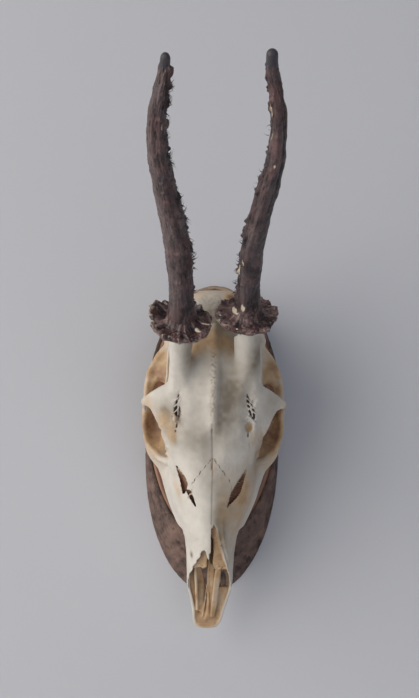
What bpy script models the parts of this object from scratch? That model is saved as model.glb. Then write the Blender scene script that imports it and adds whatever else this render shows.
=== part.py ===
"""Roe deer skull with spike antlers and no lower jaw, life size, on an oval slice of a log that hangs on a wall.

The skull is modelled in its own frame, as it would lie on a table: u is its width, f runs forward to the nose and h
is the height over the plane that the teeth stand on, all in millimetres. The empty skull_seat then turns it nose down
and sets it against the slice. The part's origin is the middle of the slice's flat back, which touches the wall.
"""

import math

import bmesh
import bpy
import numpy as np
from mathutils import Matrix, Vector

MM = 0.001
GAP = 0.3  # between pieces that touch
SAW_CUT = 0.3  # width of the cuts that part the bones

# The slice of log: an oblique cut, so the bark shows below the face and hides above it.
SLICE_THICKNESS = 22.0
SLICE_HALF_WIDTH = 46.6
BACK_HALF_HEIGHT = 94.0
FACE_HALF_HEIGHT = 89.0
FACE_RISE = 27.0  # how far the middle of the face lies above the middle of the back
BARK_THICKNESS = 2.6

# The skull. Its zero of f is at the postorbital bars, and the nose tip and the crest of the nape lie at these.
NOSE_TIP = 139.5
NAPE = -67.0
SKULL_ABOVE_ORIGIN = 25.0  # where f = 0 lies over the origin once the skull hangs nose down
PALATE = 10.0
ORBIT_WIDTH = 89.0

# Cross-sections of the cranium and face: f, half width, top, bottom, height of the widest place, squareness.
STATIONS = (
    (NAPE, 13, 57, 40, 49, 2.0),  # crest of the nape
    (-60, 22, 63, 28, 45, 2.1),
    (-50, 26.6, 68, 24, 44, 2.1),
    (-38, 27.6, 72.5, 23, 46, 2.1),  # widest part of the braincase
    (-26, 26.8, 76, 23, 48, 2.1),
    (-12, 25.4, 78, 23, 50, 2.2),  # narrowed behind the orbits
    (2, 26.5, 78, 22, 54, 2.4),  # forehead between the postorbital bars
    (16, 27, 75, 18, 53, 2.4),
    (28, 27, 69.5, 12, 47, 2.3),  # front rims of the orbits
    (40, 27.5, 63, PALATE, 33, 2.1),  # root of the nasal bones
    (54, 27, 58, PALATE, 26, 2.0),
    (68, 22.5, 53.5, PALATE, 22, 2.0),  # cheek above the premolars
    (80, 17.2, 50, 9.5, 21, 2.0),
    (92, 15.1, 46.5, 8.5, 21, 2.0),  # bare jaw between teeth and nose
    (104, 14.4, 41, 7.5, 19, 2.0),
    (113, 13.9, 36, 6.5, 17, 2.0),
    (120, 11.9, 30, 6, 15, 2.0),
    (128, 9.9, 23, 5, 12, 2.1),
    (135, 8.4, 15, 4.5, 9.5, 2.3),
    (NOSE_TIP, 5.0, 9, 5, 7, 2.3),
)

# Pedicles and antlers, right side of the picture first. Each beam: u, f, h and diameter, from burr to tip.
BURR_DIAMETER = 32.0
BURR_THICKNESS = 9.0
BEAMS = {
    "right": (
        (17.4, -36.5, 99.5, 14.6),
        (17.3, -50.5, 120.0, 13.6),
        (17.9, -63.0, 139.4, 13.2),
        (20.2, -73.7, 156.4, 12.4),
        (23.6, -83.0, 173.0, 11.6),
        (26.2, -91.7, 189.4, 9.8),
        (25.9, -99.2, 204.3, 8.6),
        (23.4, -106.3, 218.9, 7.4),
        (21.0, -110.5, 228.0, 6.2),
        (20.2, -114.4, 236.5, 4.8),
    ),
    "left": (
        (-19.6, -31.8, 98.0, 15.0),
        (-19.6, -48.0, 121.0, 14.2),
        (-20.6, -61.6, 140.5, 14.2),
        (-23.4, -72.0, 157.2, 13.0),
        (-27.0, -81.4, 173.9, 11.4),
        (-29.4, -90.1, 190.3, 10.0),
        (-29.9, -97.4, 204.7, 8.8),
        (-27.6, -104.7, 219.8, 7.2),
        (-25.4, -108.9, 228.8, 5.4),
        (-24.5, -112.0, 235.8, 4.2),
    ),
}

# Upper cheek teeth, from the front premolar back: u and f of the crown's middle and its breadth.
TEETH = ((14.8, 79, 7), (18.5, 70, 9), (20.5, 60.5, 10), (22, 50.5, 11), (23, 39.5, 11.5), (22.5, 28.5, 11))

KEPT_TRIANGLES = 0.029  # share of its triangles that the cranium keeps before it is sawn

BONE = ("skull_bone", (0.80, 0.76, 0.66), 0.55)
NOSE_BONE = ("nose_bone", (0.68, 0.54, 0.32), 0.5)
ANTLER = ("antler_velvet", (0.11, 0.07, 0.06), 0.8)
WOOD = ("slice_wood", (0.48, 0.25, 0.11), 0.4)
BARK = ("slice_bark", (0.17, 0.11, 0.09), 0.9)


def point(u, f, h):
    """A point of the skull's frame in metres, with the nose towards -Y as the skull lies on a table."""
    return Vector((u, -f, h)) * MM


def flowing(x, knots, values):
    """A smooth curve through the knots: cubic between each two, with slopes from their neighbours."""
    knots = np.asarray(knots, float)
    values = np.asarray(values, float)
    slopes = np.gradient(values, knots)
    i = np.clip(np.searchsorted(knots, x, side="right") - 1, 0, len(knots) - 2)
    width = knots[i + 1] - knots[i]
    t = (np.asarray(x, float) - knots[i]) / width
    rise = values[i] * (1 + 2 * t) * (1 - t) ** 2 + values[i + 1] * t * t * (3 - 2 * t)
    return rise + width * (slopes[i] * t * (1 - t) ** 2 - slopes[i + 1] * t * t * (1 - t))


def new_object(name, mesh, collection):
    obj = bpy.data.objects.new(name, mesh)
    collection.objects.link(obj)
    return obj


def loft(name, rings):
    """A closed mesh through rings of as many points each, with a flat cap on the first and the last."""
    count = len(rings[0])
    mesh = bmesh.new()
    rows = [[mesh.verts.new(p) for p in ring] for ring in rings]
    for low, high in zip(rows, rows[1:]):
        for i in range(count):
            mesh.faces.new((low[i], low[(i + 1) % count], high[(i + 1) % count], high[i]))
    mesh.faces.new(rows[0][::-1])
    mesh.faces.new(rows[-1])
    bmesh.ops.recalc_face_normals(mesh, faces=mesh.faces)
    data = bpy.data.meshes.new(name)
    mesh.to_mesh(data)
    mesh.free()
    return new_object(name, data, workshop)


def cranium(name, inset=0.0, widest=99.0, start=NAPE, end=NOSE_TIP, steps=70, around=40):
    """The cranium and face as one lofted body; inset and widest make a smaller one, to hollow the nose with."""
    f = np.linspace(start, end, steps)
    columns = np.array(STATIONS).T
    half, top, bottom, middle, square = (flowing(f, columns[0], c) for c in columns[1:])
    angle = np.linspace(0, 2 * math.pi, around, endpoint=False)
    rings = []
    for i in range(steps):
        power = 2 / square[i]
        side = np.sign(np.cos(angle)) * np.abs(np.cos(angle)) ** power * min(half[i] - inset, widest)
        lift = np.sign(np.sin(angle)) * np.abs(np.sin(angle)) ** power
        reach = np.where(lift > 0, top[i] - middle[i], middle[i] - bottom[i]) - inset
        rings.append([point(u, f[i], middle[i] + rise) for u, rise in zip(side, lift * reach)])
    return loft(name, rings)


def ellipsoid(name, centre, radii, turn=0.0):
    """An ellipsoid of the skull's frame, its front turned towards the middle by so many degrees."""
    mesh = bmesh.new()
    bmesh.ops.create_uvsphere(mesh, u_segments=24, v_segments=16, radius=1)
    size = Matrix.Diagonal((radii[0] * MM, radii[1] * MM, radii[2] * MM, 1))
    turned = Matrix.Rotation(-math.radians(math.copysign(turn, centre[0])), 4, "Z")
    mesh.transform(Matrix.Translation(point(*centre)) @ turned @ size)
    data = bpy.data.meshes.new(name)
    mesh.to_mesh(data)
    mesh.free()
    return new_object(name, data, workshop)


def to_mesh(curve):
    """The evaluated mesh of a curve object as an object of its own, with its caps welded on."""
    bpy.context.view_layer.update()
    graph = bpy.context.evaluated_depsgraph_get()
    data = bpy.data.meshes.new_from_object(curve.evaluated_get(graph))
    mesh = bmesh.new()
    mesh.from_mesh(data)
    bmesh.ops.remove_doubles(mesh, verts=mesh.verts, dist=1e-6)
    bmesh.ops.recalc_face_normals(mesh, faces=mesh.faces)
    mesh.to_mesh(data)
    mesh.free()
    made = new_object(curve.name + "_solid", data, workshop)
    made.matrix_world = curve.matrix_world
    bpy.data.objects.remove(curve)
    return made


def tube(name, points, radii, steps=6, sides=3):
    """A round bar through the points, each (u, f, h), whose radius changes from point to point."""
    at = np.arange(len(points))
    fine = np.linspace(0, len(points) - 1, (len(points) - 1) * steps + 1)
    route = [flowing(fine, at, [p[axis] for p in points]) for axis in range(3)]
    thick = flowing(fine, at, radii)
    curve = bpy.data.curves.new(name, "CURVE")
    curve.dimensions = "3D"
    curve.bevel_depth = MM
    curve.bevel_resolution = sides
    curve.use_fill_caps = True
    spline = curve.splines.new("POLY")
    spline.points.add(len(fine) - 1)
    for i, place in enumerate(zip(*route)):
        spline.points[i].co = (*point(*place), 1)
        spline.points[i].radius = thick[i]
    return to_mesh(new_object(name, curve, workshop))


def prism(name, outline, u_from, u_to):
    """A flat outline of (f, h) points, carried sideways from u_from to u_to."""
    curve = bpy.data.curves.new(name, "CURVE")
    curve.dimensions = "2D"
    curve.fill_mode = "BOTH"
    curve.extrude = (u_to - u_from) / 2 * MM
    spline = curve.splines.new("POLY")
    spline.use_cyclic_u = True
    spline.points.add(len(outline) - 1)
    for i, (f, h) in enumerate(outline):
        spline.points[i].co = (f * MM, h * MM, 0, 1)
    flat = new_object(name, curve, workshop)
    # The outline's x goes forward (-Y) and its y goes up, so its own z points to -X.
    flat.matrix_world = Matrix(((0, 0, -1, (u_from + u_to) / 2 * MM), (-1, 0, 0, 0), (0, 1, 0, 0), (0, 0, 0, 1)))
    return to_mesh(flat)


def grown(outline, by):
    """The (f, h) outline with every side moved outwards by so much, or inwards where by is negative."""
    points = [Vector(p) for p in outline]
    area = sum(a.x * b.y - b.x * a.y for a, b in zip(points, points[1:] + points[:1]))
    sense = math.copysign(by, area)
    moved = []
    for before, here, after in zip(points[-1:] + points[:-1], points, points[1:] + points[:1]):
        one = (here - before).normalized()
        two = (after - here).normalized()
        out = Vector((one.y + two.y, -one.x - two.x))
        moved.append(here + out * sense / (1 + one.dot(two)))
    return moved


def boolean(obj, other, operation):
    """Applies a Boolean to obj and removes the other object."""
    modifier = obj.modifiers.new("boolean", "BOOLEAN")
    modifier.operation = operation
    modifier.solver = "EXACT"
    modifier.object = other
    apply_modifiers(obj)
    bpy.data.objects.remove(other)
    return obj


def apply_modifiers(obj):
    bpy.context.view_layer.update()
    graph = bpy.context.evaluated_depsgraph_get()
    data = bpy.data.meshes.new_from_object(obj.evaluated_get(graph))
    obj.modifiers.clear()
    obj.data = data
    return obj


def joined(name, objects):
    """One mesh object that holds the faces of several, in the skull's frame."""
    mesh = bmesh.new()
    for obj in objects:
        data = obj.data.copy()
        data.transform(obj.matrix_world)
        mesh.from_mesh(data)
        bpy.data.objects.remove(obj)
    data = bpy.data.meshes.new(name)
    mesh.to_mesh(data)
    mesh.free()
    return new_object(name, data, workshop)


def fused(obj, voxel, rounds):
    """Melts overlapping bodies into one skin, smooths it, and lays it anew where smoothing made it cross itself."""
    for step in ("melt", "relay"):
        remesh = obj.modifiers.new(step, "REMESH")
        remesh.mode = "VOXEL"
        remesh.voxel_size = voxel * MM
        if step == "melt":
            smooth = obj.modifiers.new("smooth", "SMOOTH")
            smooth.factor = 0.5
            smooth.iterations = rounds
    return apply_modifiers(obj)


def thinned(obj):
    """Merges triangles where the surface bends little, down to a small share of them."""
    thin = obj.modifiers.new("thin", "DECIMATE")
    thin.ratio = KEPT_TRIANGLES
    thin.use_collapse_triangulate = True
    return apply_modifiers(obj)


def split(body, name, outline, u_from, u_to):
    """Saws the prism of an (f, h) outline out of body as a new object, and leaves a gap round it."""
    piece = new_object(name, body.data.copy(), workshop)
    half = SAW_CUT / 2
    boolean(piece, prism("inner", grown(outline, -half), u_from + half, u_to - half), "INTERSECT")
    boolean(body, prism("outer", grown(outline, half), u_from - half, u_to + half), "DIFFERENCE")
    return piece


def finish(obj, name, material, parent=None):
    """Names a sub-part, gives it its material and hands it to the model's collection."""
    colour_name, colour, roughness = material
    shade = bpy.data.materials.get(colour_name)
    if shade is None:
        shade = bpy.data.materials.new(colour_name)
        shade.use_nodes = True
        surface = shade.node_tree.nodes["Principled BSDF"]
        surface.inputs["Base Color"].default_value = (*colour, 1)
        surface.inputs["Roughness"].default_value = roughness
    obj.name = name
    obj.data.name = name
    obj.data.materials.clear()
    obj.data.materials.append(shade)
    obj.data.shade_smooth()
    obj.data.set_sharp_from_angle(angle=math.radians(40))
    workshop.objects.unlink(obj)
    model.objects.link(obj)
    obj.parent = parent
    return obj


def pair(make, name, first, *rest):
    """Makes a form on both sides: the first argument is a point, or a list of points, mirrored in u."""
    def mirrored(place, side):
        if isinstance(place[0], (tuple, list)):
            return [mirrored(p, side) for p in place]
        return (place[0] * side, *place[1:])
    return [make(name, mirrored(first, side), *rest) for side in (1, -1)]


def eye_sockets():
    """The bone round each eye: brow, postorbital bar, lower rim and the floor of the socket."""
    half = ORBIT_WIDTH / 2
    forms = pair(ellipsoid, "brow", (26.5, 9, 62.5), (12.5, 17, 6.5), 18)
    bar = ((20, -5, 70), (31, -1, 65.5), (half - 4, 2, 56), (half - 1.4, 3.5, 46), (half - 1.6, 5, 34))
    forms += pair(tube, "postorbital_bar", bar, (8, 6, 3.6, 2.8, 3.2))
    rim = ((half - 1.4, 4, 33), (half - 1.2, 14, 29.5), (half - 3.6, 24, 28), (36, 33, 30), (29, 38, 38))
    forms += pair(tube, "lower_rim", rim, (3, 2.8, 3.2, 3.6, 3.2))
    forms += pair(ellipsoid, "socket_floor", (33, 18, 24), (12, 20, 8))
    return forms


def cheeks():
    """The arch that runs back from each socket to the ear, its root, and the crest along the cheek."""
    half = ORBIT_WIDTH / 2
    arch = ((half - 1.4, 8, 31), (half - 0.9, -4, 33), (half - 2.6, -18, 35), (36.5, -30, 36), (28, -38, 37))
    forms = pair(tube, "arch", arch, (3.2, 2.8, 2.8, 3.4, 4.5))
    forms += pair(ellipsoid, "temporal_shelf", (31, -23, 37), (11.5, 14, 3.5))
    crest = ((34, 30, 27), (28.6, 46, 24), (23.8, 60, 21), (18.6, 73, 18))
    forms += pair(tube, "facial_crest", crest, (4.5, 4, 3.6, 2.8))
    return forms


def skull_base():
    """What the skull rests on behind, and the joint with the neck: bullae, paroccipital hooks and condyles."""
    forms = pair(ellipsoid, "condyle", (8.5, -65, 33), (6, 7, 8))
    forms += pair(ellipsoid, "bulla", (17, -43, 19), (6.5, 10, 9), 15)
    hook = ((20, -57, 34), (18.5, -56, 18), (16.5, -53, -1.5))
    forms += pair(tube, "paroccipital_hook", hook, (6, 4.2, 2.6))
    forms += pair(tube, "pterygoid", ((10, 22, 14), (9, 8, 13), (8, -8, 22)), (2.5, 2.2, 4))
    forms.append(ellipsoid("nape_crest", (0, -64, 55), (20, 4, 5)))
    forms.append(tube("brow_ridge", ((0, -27, 74), (0, -10, 77), (0, 8, 76)), (2, 2.8, 2)))
    return forms


def tooth_rows():
    """Both rows of cheek teeth: each crown narrows towards the face that stands on the slice."""
    forms = []
    for u, f, breadth in TEETH:
        crown = ((u, f, 15), (u, f, 7), (u - 0.5, f, -1.5))
        forms += pair(tube, "tooth", crown, (breadth / 2, breadth / 2, breadth / 2 - 1))
    return forms


def beam_frame(beam):
    """Where an antler starts, which way it goes and a direction across it, in the skull's frame."""
    start = point(*beam[0][:3])
    along = (point(*beam[1][:3]) - start).normalized()
    across = along.cross(Vector((0, 0, 1))).normalized()
    return start, along, across, along.cross(across)


def pedicles():
    """The bone stalks that the antlers grow from; they run on past the burrs, and burr_seats cuts them off."""
    forms = []
    for beam in BEAMS.values():
        u, f, h, _ = beam[0]
        side = math.copysign(1, u)
        stalk = ((side * 19, -4, 64), (side * 21.3, -18, 79), (u, f, h), (u, f - 5, h + 7))
        forms.append(tube("pedicle", stalk, (9, 8, 7.4, 7.4)))
    return forms


def burr_seats():
    """Round blocks that cut the pedicles off square where the burrs sit on them."""
    blocks = []
    for beam in BEAMS.values():
        start, along, _, _ = beam_frame(beam)
        mesh = bmesh.new()
        bmesh.ops.create_cone(mesh, cap_ends=True, segments=32, radius1=0.02, radius2=0.02, depth=0.03)
        turned = along.to_track_quat("Z", "Y").to_matrix().to_4x4()
        mesh.transform(Matrix.Translation(start + along * 0.015) @ turned)
        data = bpy.data.meshes.new("burr_seat")
        mesh.to_mesh(data)
        mesh.free()
        blocks.append(new_object("burr_seat", data, workshop))
    return blocks


def hollows():
    """What is cut from the cranium: sockets, nasal cavity, nose opening and the gaps beside the nasal bones."""
    cutters = pair(ellipsoid, "socket", (41, 22, 45.5), (19, 16, 15.5))
    cutters.append(cranium("nasal_cavity", 2.6, 13.5, 42, 128, 40, 24))
    opening = ((90, 90), (93, 45.5), (98, 40), (105, 32.5), (113, 24.5), (124, 17), (134, 12), (150, 11), (150, 90))
    cutters.append(prism("nose_opening", opening, -40, 40))
    # The nasal bone on the right of the picture is broken off short.
    broken = ((78, 90), (79, 44), (95, 34), (95, 90))
    cutters.append(prism("broken_nasal", broken, 0.8, 7.5))
    gap = ((21, 42, 52.5), (15.8, 51, 53), (11.2, 61, 53))
    cutters += pair(tube, "lacrimal_gap", gap, (1.6, 3.6, 1.6))
    cutters += pair(tube, "gap_depth", ((16.5, 50, 53), (10, 51, 36)), (3, 4))
    return cutters


def nose_inside():
    """What shows in the nose opening: the vomer, the rolled bones and the rods that join the nose tip."""
    forms = [tube("vomer", ((0, 84, 12), (0, 105, 15), (0, 133, 8)), (4, 4, 2))]
    forms.append(tube("rolled_bone", ((6.5, 76, 40), (5.8, 100, 28), (3.6, 130, 11)), (3.4, 2.4, 1.8)))
    forms.append(tube("rolled_bone", ((-6, 84, 36), (-7.6, 103, 24), (-6.6, 126, 11)), (3, 1.8, 1.5)))
    return forms


def bones():
    """The cranium with all its forms melted together, hollowed, and ground flat where it stands on the slice."""
    forms = eye_sockets() + cheeks() + skull_base() + tooth_rows() + pedicles()
    body = fused(joined("cranium", [cranium("core"), *forms]), 1.3, 5)
    for cutter in hollows():
        boolean(body, cutter, "DIFFERENCE")
    body = fused(joined("cranium", [body, *nose_inside()]), 1.1, 4)
    ground = ((-90, -9), (160, -9), (160, 0), (-90, 0))
    for cutter in (prism("slice_face", ground, -60, 60), *burr_seats()):
        boolean(body, cutter, "DIFFERENCE")
    return thinned(body)


def largest_shell(obj):
    """Drops the crumbs that a saw cut leaves beside a bone."""
    mesh = bmesh.new()
    mesh.from_mesh(obj.data)
    shells = []
    left = set(mesh.verts)
    while left:
        shell = {left.pop()}
        front = list(shell)
        while front:
            near = {e.other_vert(v) for v in front for e in v.link_edges} - shell
            shell |= near
            front = list(near)
        left -= shell
        shells.append(shell)
    shells.sort(key=len)
    bmesh.ops.delete(mesh, geom=[v for shell in shells[:-1] for v in shell], context="VERTS")
    mesh.to_mesh(obj.data)
    mesh.free()
    return obj


def saw_bones(body):
    """Saws the cranium into the bones that have names; what is left over is the braincase."""
    everything = ((-120, -40), (-120, 140), (200, 140), (200, -40))
    premaxilla = ((92, -20), (92, 20), (84, 90), (160, 90), (160, -20))
    nasal = ((41, 90), (41, 57), (100, 38.5), (100, 90))
    arch = ((-24, 20), (-24, 50), (12, 50), (30, 36), (44, 36), (44, -20), (10, -20))
    frontal = ((-28.5, 52), (-28.5, 72), (-70, 122), (60, 122), (54.5, 49), (34, 42), (4, 46))
    face = ((11, -20), (11, 90), (160, 90), (160, -20))
    pieces = []

    def both_halves(name, outline, half_width, surface):
        rest = split(body, name + "_left", outline, -half_width, half_width)
        pieces.append((split(rest, name + "_right", everything, 0, 70), surface))
        pieces.append((rest, surface))

    both_halves("premaxilla", premaxilla, 60, NOSE_BONE)
    both_halves("nasal", nasal, 11.5, BONE)
    pieces.append((split(body, "cheek_arch_right", arch, 34, 60), BONE))
    pieces.append((split(body, "cheek_arch_left", arch, -60, -34), BONE))
    pieces.append((split(body, "frontal", frontal, -60, 60), BONE))
    both_halves("maxilla", face, 60, BONE)
    body.name = "braincase"
    return [*pieces, (body, BONE)]


def burr(name, beam, phase):
    """The knobbed ring at the antler's foot: a dished disc whose rim swells and shrinks as it goes round."""
    start, along, across, up = beam_frame(beam)
    around = 36
    profile = ((0.5, 0), (0.86, 0.04), (0.99, 0.3), (1, 0.62), (0.9, 0.9), (0.68, 1), (0.5, 0.96))
    rings = []
    for reach, lift in profile:
        ring = []
        for i in range(around):
            angle = 2 * math.pi * i / around
            knob = 0.05 * math.sin(5 * angle + phase) + 0.045 * math.sin(11 * angle + 2 * phase)
            radius = BURR_DIAMETER / 2 * reach * (1 + knob * reach) * MM
            out = across * math.cos(angle) + up * math.sin(angle)
            ring.append(start + out * radius + along * (GAP + lift * BURR_THICKNESS) * MM)
        rings.append(ring)
    return loft(name, rings)


def antler(name, beam, phase):
    """One spike: a beam with shallow furrows along it, bent as in the picture, from the burr to its blunt tip."""
    _, along, across, up = beam_frame(beam)
    columns = np.array(beam).T
    at = np.arange(len(beam))
    around = 14
    fine = np.linspace(0, len(beam) - 1, 23)
    route = [point(*p) for p in zip(*(flowing(fine, at, columns[axis]) for axis in range(3)))]
    thick = flowing(fine, at, columns[3])
    shift = along * (2 * GAP + BURR_THICKNESS) * MM
    rings = []
    for i, centre in enumerate(route):
        fade = max(1 - i / 5, 0)
        after = route[min(i + 1, len(route) - 1)] - route[max(i - 1, 0)]
        side = (across - after * across.dot(after) / after.length_squared).normalized()
        rise = after.cross(side).normalized()
        ring = []
        for j in range(around):
            angle = 2 * math.pi * j / around
            furrow = 1 + 0.05 * math.sin(5 * angle + phase + 0.15 * i) + 0.15 * fade ** 2
            out = side * math.cos(angle) + rise * math.sin(angle)
            ring.append(centre + shift * fade + out * thick[i] / 2 * furrow * MM)
        rings.append(ring)
    tip = route[-1] + (route[-1] - route[-2]).normalized() * thick[-1] / 4 * MM
    rings.append([tip + (p - route[-1]) * 0.4 for p in rings[-1]])
    return loft(name, rings)


def slice_outline(name, inset, over=0.0):
    """The oblique slice of log as a loft from its back on the wall to its face, smaller all round by inset."""
    around = 48
    rings = []
    for t in np.linspace(-over, 1 + over, 2 if inset else 4):
        ring = []
        for i in range(around):
            angle = 2 * math.pi * i / around
            rough = 0.4 * math.sin(9 * angle + 4 * t) + 0.3 * math.sin(16 * angle - 3 * t) if inset == 0 else 0
            wide = SLICE_HALF_WIDTH - inset + rough
            high = BACK_HALF_HEIGHT + (FACE_HALF_HEIGHT - BACK_HALF_HEIGHT) * t - inset + rough
            place = (wide * math.cos(angle), -SLICE_THICKNESS * t, FACE_RISE * t + high * math.sin(angle))
            ring.append(Vector(place) * MM)
        rings.append(ring)
    return loft(name, rings)


for old in list(bpy.data.objects):
    bpy.data.objects.remove(old)
model = bpy.data.collections.new("roe_deer_skull")
workshop = bpy.data.collections.new("workshop")
for made in (model, workshop):
    bpy.context.scene.collection.children.link(made)

seat = bpy.data.objects.new("skull_seat", None)
model.objects.link(seat)
seat.location = (0, -(SLICE_THICKNESS + GAP) * MM, SKULL_ABOVE_ORIGIN * MM)
seat.rotation_euler = (math.radians(90), 0, 0)

for piece, surface in saw_bones(bones()):
    finish(largest_shell(piece), piece.name, surface, seat)
for number, (hand, path) in enumerate(BEAMS.items()):
    finish(burr("coronet_" + hand, path, 2.0 * number), "coronet_" + hand, ANTLER, seat)
    finish(antler("antler_" + hand, path, 2.0 * number), "antler_" + hand, ANTLER, seat)
core = slice_outline("slice_wood", BARK_THICKNESS + GAP)
bark = boolean(slice_outline("slice_bark", 0), slice_outline("core_room", BARK_THICKNESS, 0.2), "DIFFERENCE")
finish(core, "slice_wood", WOOD)
finish(bark, "slice_bark", BARK)
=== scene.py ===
import math
from functools import partial

import bpy
import numpy as np
from mathutils import Matrix


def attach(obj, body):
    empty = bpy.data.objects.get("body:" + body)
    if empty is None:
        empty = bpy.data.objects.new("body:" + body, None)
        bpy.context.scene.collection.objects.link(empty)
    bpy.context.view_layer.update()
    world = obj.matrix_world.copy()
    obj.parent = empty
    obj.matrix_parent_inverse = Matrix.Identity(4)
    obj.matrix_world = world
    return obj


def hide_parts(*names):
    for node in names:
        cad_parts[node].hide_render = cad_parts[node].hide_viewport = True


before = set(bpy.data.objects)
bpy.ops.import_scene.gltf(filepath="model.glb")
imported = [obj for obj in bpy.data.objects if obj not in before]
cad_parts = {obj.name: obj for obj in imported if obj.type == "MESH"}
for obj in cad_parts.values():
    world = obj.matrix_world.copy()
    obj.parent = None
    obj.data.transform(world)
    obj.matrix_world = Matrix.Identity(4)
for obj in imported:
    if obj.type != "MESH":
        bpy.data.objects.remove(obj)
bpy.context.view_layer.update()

# ---- Wall, floor and light ----
# The trophy hangs on a plain wall in matt pale grey paint, far above a pale floor. Both are stage only. The
# wall is one-sided, as a stage flat is, and open behind the slice, so that the slice's back can be seen.


def linear(hex_colour):
    """An sRGB hex colour as linear light: c / 12.92 up to 0.04045, then ((c + 0.055) / 1.055) ** 2.4."""
    channels = [int(hex_colour[i:i + 2], 16) / 255 for i in (1, 3, 5)]
    return (*[c / 12.92 if c <= 0.04045 else ((c + 0.055) / 1.055) ** 2.4 for c in channels], 1)


def add_node(tree, kind, sockets=None, **settings):
    """Adds a shader node with its settings; a socket takes a value, or a (node, output) pair to link from."""
    node = tree.nodes.new("ShaderNode" + kind)
    for name, value in settings.items():
        setattr(node, name, value)
    for name, value in (sockets or {}).items():
        if isinstance(value, tuple) and isinstance(value[0], bpy.types.Node):
            tree.links.new(value[0].outputs[value[1]], node.inputs[name])
        else:
            node.inputs[name].default_value = value
    return node


def new_material(name):
    """A material with an empty node tree, and the socket that gives its textures the place on the piece."""
    material = bpy.data.materials.new(name)
    material.use_nodes = True
    tree = material.node_tree
    tree.nodes.clear()
    return material, tree, (add_node(tree, "TexCoord"), "Object")


def finish_material(tree, height, strength, distance, sockets):
    """Ends a material: a bump from a height, with its distance in metres, the shader and the output."""
    bump = add_node(tree, "Bump", {"Height": height, "Strength": strength, "Distance": distance})
    shader = add_node(tree, "BsdfPrincipled", {**sockets, "Normal": (bump, "Normal")})
    return shader, add_node(tree, "OutputMaterial", {"Surface": (shader, "BSDF")})


def matt_paint(name, colour):
    """Wall paint laid with a roller: no gloss, and a stipple of about 2 mm."""
    material, tree, place = new_material(name)
    stipple = add_node(tree, "TexNoise", {"Vector": place, "Scale": 500.0, "Detail": 2.0})
    sockets = {"Base Color": linear(colour), "Roughness": 0.85}
    paint, output = finish_material(tree, (stipple, "Fac"), 0.12, 0.0004, sockets)
    return material, paint, output


def new_mesh(name, points, faces, material, smooth=True):
    """A mesh object from arrays of points in metres and faces with equal numbers of corners."""
    mesh = bpy.data.meshes.new(name)
    corners = faces.shape[1]
    mesh.vertices.add(len(points))
    mesh.vertices.foreach_set("co", np.asarray(points, np.float32).ravel())
    mesh.loops.add(faces.size)
    mesh.loops.foreach_set("vertex_index", np.asarray(faces, np.int32).ravel())
    mesh.polygons.add(len(faces))
    mesh.polygons.foreach_set("loop_start", np.arange(0, faces.size, corners, dtype=np.int32))
    mesh.update(calc_edges=True)
    mesh.polygons.foreach_set("use_smooth", np.full(len(faces), smooth))
    mesh.materials.append(material)
    made = bpy.data.objects.new(name, mesh)
    bpy.context.scene.collection.objects.link(made)
    return made


def whole_turn(count):
    """This many angles evenly round a circle, in radians."""
    return 2 * np.pi * np.arange(count) / count


def unit(vectors):
    """Vectors drawn to a length of 1: v / |v|."""
    return vectors / np.maximum(np.linalg.norm(vectors, axis=-1, keepdims=True), 1e-6)


WALL_REACH = 3.0
FLOOR_LEVEL = -1.3
OPENING = (0.0452, 0.0926)  # half of the width and of the height of the hole behind the slice
CORNERS = 64
wall_paint, paint, output = matt_paint("pale_grey_wall_paint", "#CED0D6")
tree = wall_paint.node_tree
side = add_node(tree, "NewGeometry")
clear = add_node(tree, "BsdfTransparent")
one_sided = add_node(tree, "MixShader", {0: (side, "Backfacing"), 1: (paint, "BSDF"), 2: (clear, "BSDF")})
tree.links.new(one_sided.outputs[0], output.inputs["Surface"])
turn = whole_turn(CORNERS)
opening = np.column_stack([OPENING[0] * np.cos(turn), np.full(CORNERS, 0.0003), OPENING[1] * np.sin(turn)])
rim = np.column_stack([np.cos(turn), np.full(CORNERS, 0.0001), np.sin(turn)]) * WALL_REACH
rim /= np.maximum(np.abs(rim[:, :1]), np.abs(rim[:, 2:])) / WALL_REACH
here = np.arange(CORNERS)
there = np.roll(here, -1)
wall = new_mesh("wall", np.vstack([opening, rim]),
                np.column_stack([here, here + CORNERS, there + CORNERS, there]), wall_paint, smooth=False)
corner = np.array([(-1, -1), (1, -1), (1, 1), (-1, 1)]) * WALL_REACH
floor = new_mesh("floor", np.column_stack([corner[:, 0], corner[:, 1] - WALL_REACH, np.full(4, FLOOR_LEVEL)]),
                 np.array([[0, 1, 2, 3]]), matt_paint("pale_floor_paint", "#D2D1CE")[0], smooth=False)


def soft_light(name, place, towards, size, watts, colour):
    """A square area light at a place, in metres, that faces a point."""
    lamp = bpy.data.lights.new(name, "AREA")
    lamp.size = size
    lamp.energy = watts
    lamp.color = linear(colour)[:3]
    made = bpy.data.objects.new(name, lamp)
    place, towards = np.array(place, float), np.array(towards, float)
    away = unit(place - towards)
    right = unit(np.cross((0, 0, 1), away))
    turn = np.column_stack([right, np.cross(away, right), away])
    made.matrix_world = Matrix.Translation(place) @ Matrix(turn.tolist()).to_4x4()
    bpy.context.scene.collection.objects.link(made)


# Daylight from a window on the left, what the room gives back, and a weak light behind for the slice's back.
soft_light("window", (-2.1, -1.45, 0.05), (0, -0.05, 0), 3.2, 71, "#FFF9F2")
soft_light("room", (0.9, -2.2, -0.3), (0, -0.05, 0), 1.8, 8, "#EEF2FF")
soft_light("behind", (0.5, 1.6, 0.9), (0, 0, 0), 1.2, 14, "#F4F6FF")
world = bpy.data.worlds.new("grey_room")
world.use_nodes = True
sky = world.node_tree.nodes["Background"].inputs
sky["Color"].default_value = linear("#C9CDD4")
sky["Strength"].default_value = 0.27
bpy.context.scene.world = world
bpy.context.scene.view_settings.view_transform = "Standard"

# ---- Camera ----
# It stands where the photo was taken from: half a metre in front of the wall, 8 cm under the middle of the
# skull, tilted up by 14 degrees and rolled by one.

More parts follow.
